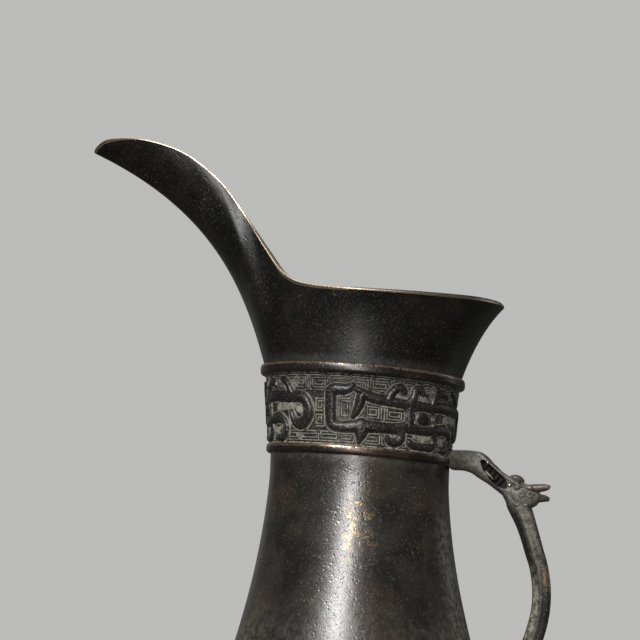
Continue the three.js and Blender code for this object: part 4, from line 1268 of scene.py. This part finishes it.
def strap_pad():
    """Round pad that swells from the belly's skin, with a soft shoulder under the strap."""
    shoulder = [(PAD_RADIUS * share, rise) for share, rise in ((1, 0.6), (0.93, 1.9), (0.74, 2.9))]
    top = [(PAD_RADIUS * 0.5, PAD_RISE), (0, PAD_RISE + 0.5)]
    pad = spun([(0, -PAD_SUNK), (PAD_RADIUS, -PAD_SUNK), *shoulder, *top], 48)
    return set_in(pad, math.pi / 2 + PAD_TILT, (PAD_SEAT, 0, PAD_HEIGHT))


def bowl_cutter():
    """Everything inside the bowl's outer skin, a hair smaller, so that what it cuts seats on it."""
    skin = moved_in(bowl_outer, SEAT_GAP)
    return spun([(0, skin[0][1]), *skin, (0, skin[-1][1])], 96)


def off_middle(at):
    """How far a point lies outside the strap's middle line."""
    upwards = np.array(STRAP_SECTIONS[::-1])
    return at[:, 0] - np.interp(at[:, 2], upwards[:, 1], upwards[:, 0])


def strap_wear(at):
    """Rubbed copper on the outer half of the bow, most at one place."""
    outside = stepped(off_middle(at), -1.2, 1.6)
    patch = np.exp(-(((at[:, 2] - COPPER_HEIGHT) / 5) ** 2))
    return outside * (0.1 + 0.52 * patch)


def strap_dust(at):
    """Pale dust on the chamfers of the inside, where no hand reaches, and flecks on the sides."""
    inside = stepped(off_middle(at), -0.6, -1.5) * stepped(np.abs(at[:, 1]), 1.2, 3.2)
    chamfer = 0.9 * inside * stepped(at[:, 2], 146, 126) * stepped(at[:, 2], 103, 109)
    side = 0.3 * stepped(at[:, 2], 130, 148) * stepped(np.abs(at[:, 1]), 3.2, 4.3)
    return np.maximum(chamfer, side)


def strap_painted_shade(at):
    """Painted shade on the inside of the strap's upper half."""
    return 0.6 * stepped(off_middle(at), -0.2, -1.4) * stepped(at[:, 2], 138, 148)


marks = {"worn": strap_wear, "dusty": strap_dust, "painted_shade": strap_painted_shade}
strap = cut_away(joined([strap_bar(), strap_pad()], STRAP_VOXEL, 2), bowl_cutter())
made_piece("handle_strap", strap, strap_bronze, "handle_bronze", crease=50, **marks)

# Handle rivet: a copper rod through the bowl's wall, which holds the strap's foot. Its end inside the
# bowl is hammered over, so the head is a little uneven.
RIVET_COLOURS = [
    (0.06, 0.03, 0.018),
    (0.13, 0.062, 0.036),
    (0.1, 0.035, 0.02),
    (0.12, 0.16, 0.11),
    (0.62, 0.33, 0.2),
]
rivet_copper = bronze("rivet_copper", RIVET_COLOURS, 0.9, 0.9, 0.36, metal=0.75, blush=0.4, fleck=0.1)
RIVET_RADIUS = 1.8
RIVET_HEAD = 3.6
RIVET_HEAD_HEIGHT = 1.6
RIVET_STANDOFF = 0.55
HAMMERED = 0.09
STRAP_RIVET_BITE = 3.2


def swung(work, turn):
    """Turns a mesh round the vessel's axis, in degrees."""
    round_axis = Matrix.Rotation(math.radians(turn), 3, "Z")
    bmesh.ops.rotate(work, verts=work.verts, cent=(0, 0, 0), matrix=round_axis)
    return work


def belly_rivet(height, turn, bite):
    """Rivet square to the bowl's wall: a hammered head inside and a shank that bites outside."""
    index = int(np.argmin(np.abs(bowl_outer[:, 1] - height)))
    along_wall = bowl_outer[index + 1] - bowl_outer[index - 1]
    tilt = math.atan2(along_wall[0], along_wall[1])
    length = BOWL_WALL + RIVET_STANDOFF + bite
    outline = [
        (0, -RIVET_HEAD_HEIGHT), (1.3, -1.55), (2.4, -1.3), (3.2, -0.85), (3.55, -0.35), (RIVET_HEAD, 0),
        (RIVET_RADIUS + 0.15, 0), (RIVET_RADIUS, 0.15), (RIVET_RADIUS, length), (0, length),
    ]
    rivet = spun(outline, 32)
    chance = np.random.default_rng(round(height) + round(turn))
    for point in rivet.verts:
        if point.co.z < -0.2:
            dent = math.sin(2.1 * point.co.x + chance.random()) * math.cos(1.7 * point.co.y)
            point.co.z += HAMMERED * dent
    back = (BOWL_WALL + RIVET_STANDOFF) * np.array([math.cos(tilt), -math.sin(tilt)])
    out, rise = bowl_outer[index] - back
    return swung(set_in(rivet, math.pi / 2 + tilt, (out, 0, rise)), turn)


def rivet_wear(at):
    """Even wear all over."""
    return np.full(len(at), 0.3)


rivet = belly_rivet(PAD_HEIGHT, 0, STRAP_RIVET_BITE)
made_piece("handle_foot_rivet", rivet, rivet_copper, "rivet_copper", worn=rivet_wear)

# Base plate: cast disc dropped in from above on the bowl's ledge, with a boss that fills the
# casting hole and a shallow ring on its underside
PLATE_OUTLINE = [
    (0, 55.5), (9, 55.4), (9.6, 55.05), (10.6, 55.05), (11.2, 55.4), (16.6, 55.35), (17.6, 55.02),
    (18.5, 55.1), (18.75, 55.4), (18.75, 57.75), (22.8, 57.75), (23, 57.95), (23, 59), (22.6, 59.5),
    (21, 60.1), (12, 60.2), (0, 60.2),
]


def plate_dust(at):
    """Even dust all over."""
    return np.full(len(at), 0.35)


plate = spun(PLATE_OUTLINE, 96)
made_piece("base_plate", plate, bowl_bronze, "patinated_bronze", dusty=plate_dust)

# Legs: three cast bronze legs of ridged section, set against the belly and riveted from inside.
# Each narrows and swings out to a small flat foot. A channel in its back still holds the clay core
# that it was cast round, which keeps the bronze thin.
LEG_NAMES = ("back", "front_right", "front_left")
LEG_TOP = 74
LEG_TOP_CIRCLE = 38
FOOT_CIRCLE = 46.5
# Sizes at the top and at the foot
LEG_HALF_WIDTHS = (8.6, 4.2)
LEG_DEPTHS = (17, 8.4)
# Shares of the height, of the swing outwards and of the taper
LEG_STATIONS = [
    (0, 1, 1), (0.07, 0.84, 0.98), (0.2, 0.58, 0.88), (0.4, 0.42, 0.66), (0.6, 0.28, 0.42),
    (0.8, 0.12, 0.16), (1, 0, 0),
]
SOLE_BEVEL = 0.5
SOLE_SHARE = 0.93
CORE_LOW = 10.3
CORE_HIGH = 49.7
CORE_SHARE = 0.5
CORE_GAP = 0.3
CORE_INSET = 0.25
CHANNEL_JUT = 3
BACK_SHARE = 0.42
LEG_RIVET_HEIGHT = 63
LEG_RIVET_BITE = 5


def rounded(outline, count=60, passes=3):
    """Closed outline with that many even points and softened corners."""
    points = np.array([*outline, outline[0]], float)
    walked = np.append(0, np.cumsum(np.linalg.norm(np.diff(points, axis=0), axis=1)))
    even = np.linspace(0, walked[-1], count, endpoint=False)
    ring = np.stack([np.interp(even, walked, points[:, k]) for k in (0, 1)], axis=1)
    for _ in range(passes):
        ring = (np.roll(ring, 1, axis=0) + 2 * ring + np.roll(ring, -1, axis=0)) / 4
    return ring


leg_line = drawn_curve(LEG_STATIONS, 8)


def leg_size(share):
    """Middle, half width and depth of a leg at a share of its height."""
    swing, taper = (np.interp(share, leg_line[:, 0], leg_line[:, column]) for column in (1, 2))
    middle = LEG_TOP_CIRCLE + (FOOT_CIRCLE - LEG_TOP_CIRCLE) * swing
    half = LEG_HALF_WIDTHS[0] + (LEG_HALF_WIDTHS[1] - LEG_HALF_WIDTHS[0]) * taper
    depth = LEG_DEPTHS[0] + (LEG_DEPTHS[1] - LEG_DEPTHS[0]) * taper
    return middle, half, depth


def leg_blank():
    """A whole leg under the back of the bowl, before it is cut to the belly and channelled."""
    rows = []
    for share in leg_line[:, 0]:
        middle, half, depth = leg_size(share)
        back = -BACK_SHARE * depth
        ridge = depth * (0.58 - 0.17 * stepped(share, 0.8, 1))
        right = [
            (back, 0.72 * half), (back * 0.45, half), (ridge * 0.35, 0.72 * half),
            (ridge * 0.86, 0.24 * half), (ridge, 0.16 * half),
        ]
        ring = rounded(both_sides(right))
        height = share * LEG_TOP
        rows.append(np.column_stack([middle + ring[:, 0], ring[:, 1], np.full(len(ring), height)]))
    centre = rows[0].mean(axis=0)
    sole = centre + SOLE_SHARE * (rows[0] - centre)
    rows[0] = rows[0] + [0, 0, SOLE_BEVEL]
    return rolled([sole, *rows], ring=False)


def core_bar(clearance, jut):
    """Bar that fills a leg's channel. The jut carries it out past the leg's back."""
    rows = []
    levels = np.linspace(CORE_LOW + clearance - CORE_GAP, CORE_HIGH - clearance + CORE_GAP, 14)
    for level in levels:
        middle, half, depth = leg_size(level / LEG_TOP)
        back = middle - BACK_SHARE * depth
        floor = back + depth * CORE_SHARE - clearance
        wide = CORE_SHARE * half - clearance
        ring = rounded([(back - jut, -wide), (back - jut, wide), (floor, wide), (floor, -wide)], 32, 1)
        rows.append(np.column_stack([ring, np.full(len(ring), level)]))
    return rolled(rows, ring=False)


def leg_wear(at):
    """Wear along the ridge and round the foot."""
    middle, _, depth = leg_size(at[:, 2] / LEG_TOP)
    turns = 2 * math.pi * np.arange(len(LEG_NAMES)) / len(LEG_NAMES)
    outward = np.outer(at[:, 0], np.cos(turns)) + np.outer(at[:, 1], np.sin(turns))
    ridge = stepped(outward.max(axis=1) - middle, 0.5 * depth, 0.57 * depth)
    return np.maximum(0.14 * ridge, 0.3 * stepped(at[:, 2], 1.2, 0.2))


def leg_dust(at):
    """Dust where the leg meets the belly and a trace everywhere."""
    return 0.08 + 0.35 * stepped(at[:, 2], 56, 66)


clay, clay_tree = empty_material("fired_clay")
clay_place = node(clay_tree, "TexCoord").outputs["Object"]
clay_cloud = noise_mask(clay_tree, clay_place, 260, 0.3, 0.7, 4)
clay_grit = noise_mask(clay_tree, clay_place, 1500, 0.45, 0.7, 3)
clay_base = mixed(clay_tree, clay_cloud, (0.2, 0.135, 0.085, 1), (0.34, 0.25, 0.17, 1))
clay_colour = mixed(clay_tree, times(clay_tree, clay_grit, 0.5), clay_base, (0.1, 0.075, 0.055, 1))
clay_bump = node(clay_tree, "Bump", {"Strength": 0.8, "Distance": 0.0003, "Height": clay_grit})
clay_surface = {"Base Color": clay_colour, "Roughness": 0.92, "Normal": clay_bump.outputs[0]}
clay_shader = node(clay_tree, "BsdfPrincipled", clay_surface)
node(clay_tree, "OutputMaterial", {"Surface": clay_shader.outputs[0]})

for number, name in enumerate(LEG_NAMES):
    turn = 360 / len(LEG_NAMES) * number
    leg = swung(cut_away(cut_away(leg_blank(), bowl_cutter()), core_bar(0, CHANNEL_JUT)), turn)
    marks = {"worn": leg_wear, "dusty": leg_dust}
    made_piece(f"leg_{name}", leg, bowl_bronze, "patinated_bronze", crease=32, **marks)
    made_piece(f"leg_core_{name}", swung(core_bar(CORE_GAP, -CORE_INSET), turn), clay, "fired_clay")
    rivet = belly_rivet(LEG_RIVET_HEIGHT, turn, LEG_RIVET_BITE)
    made_piece(f"leg_rivet_{name}", rivet, rivet_copper, "rivet_copper", worn=rivet_wear)

low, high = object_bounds()
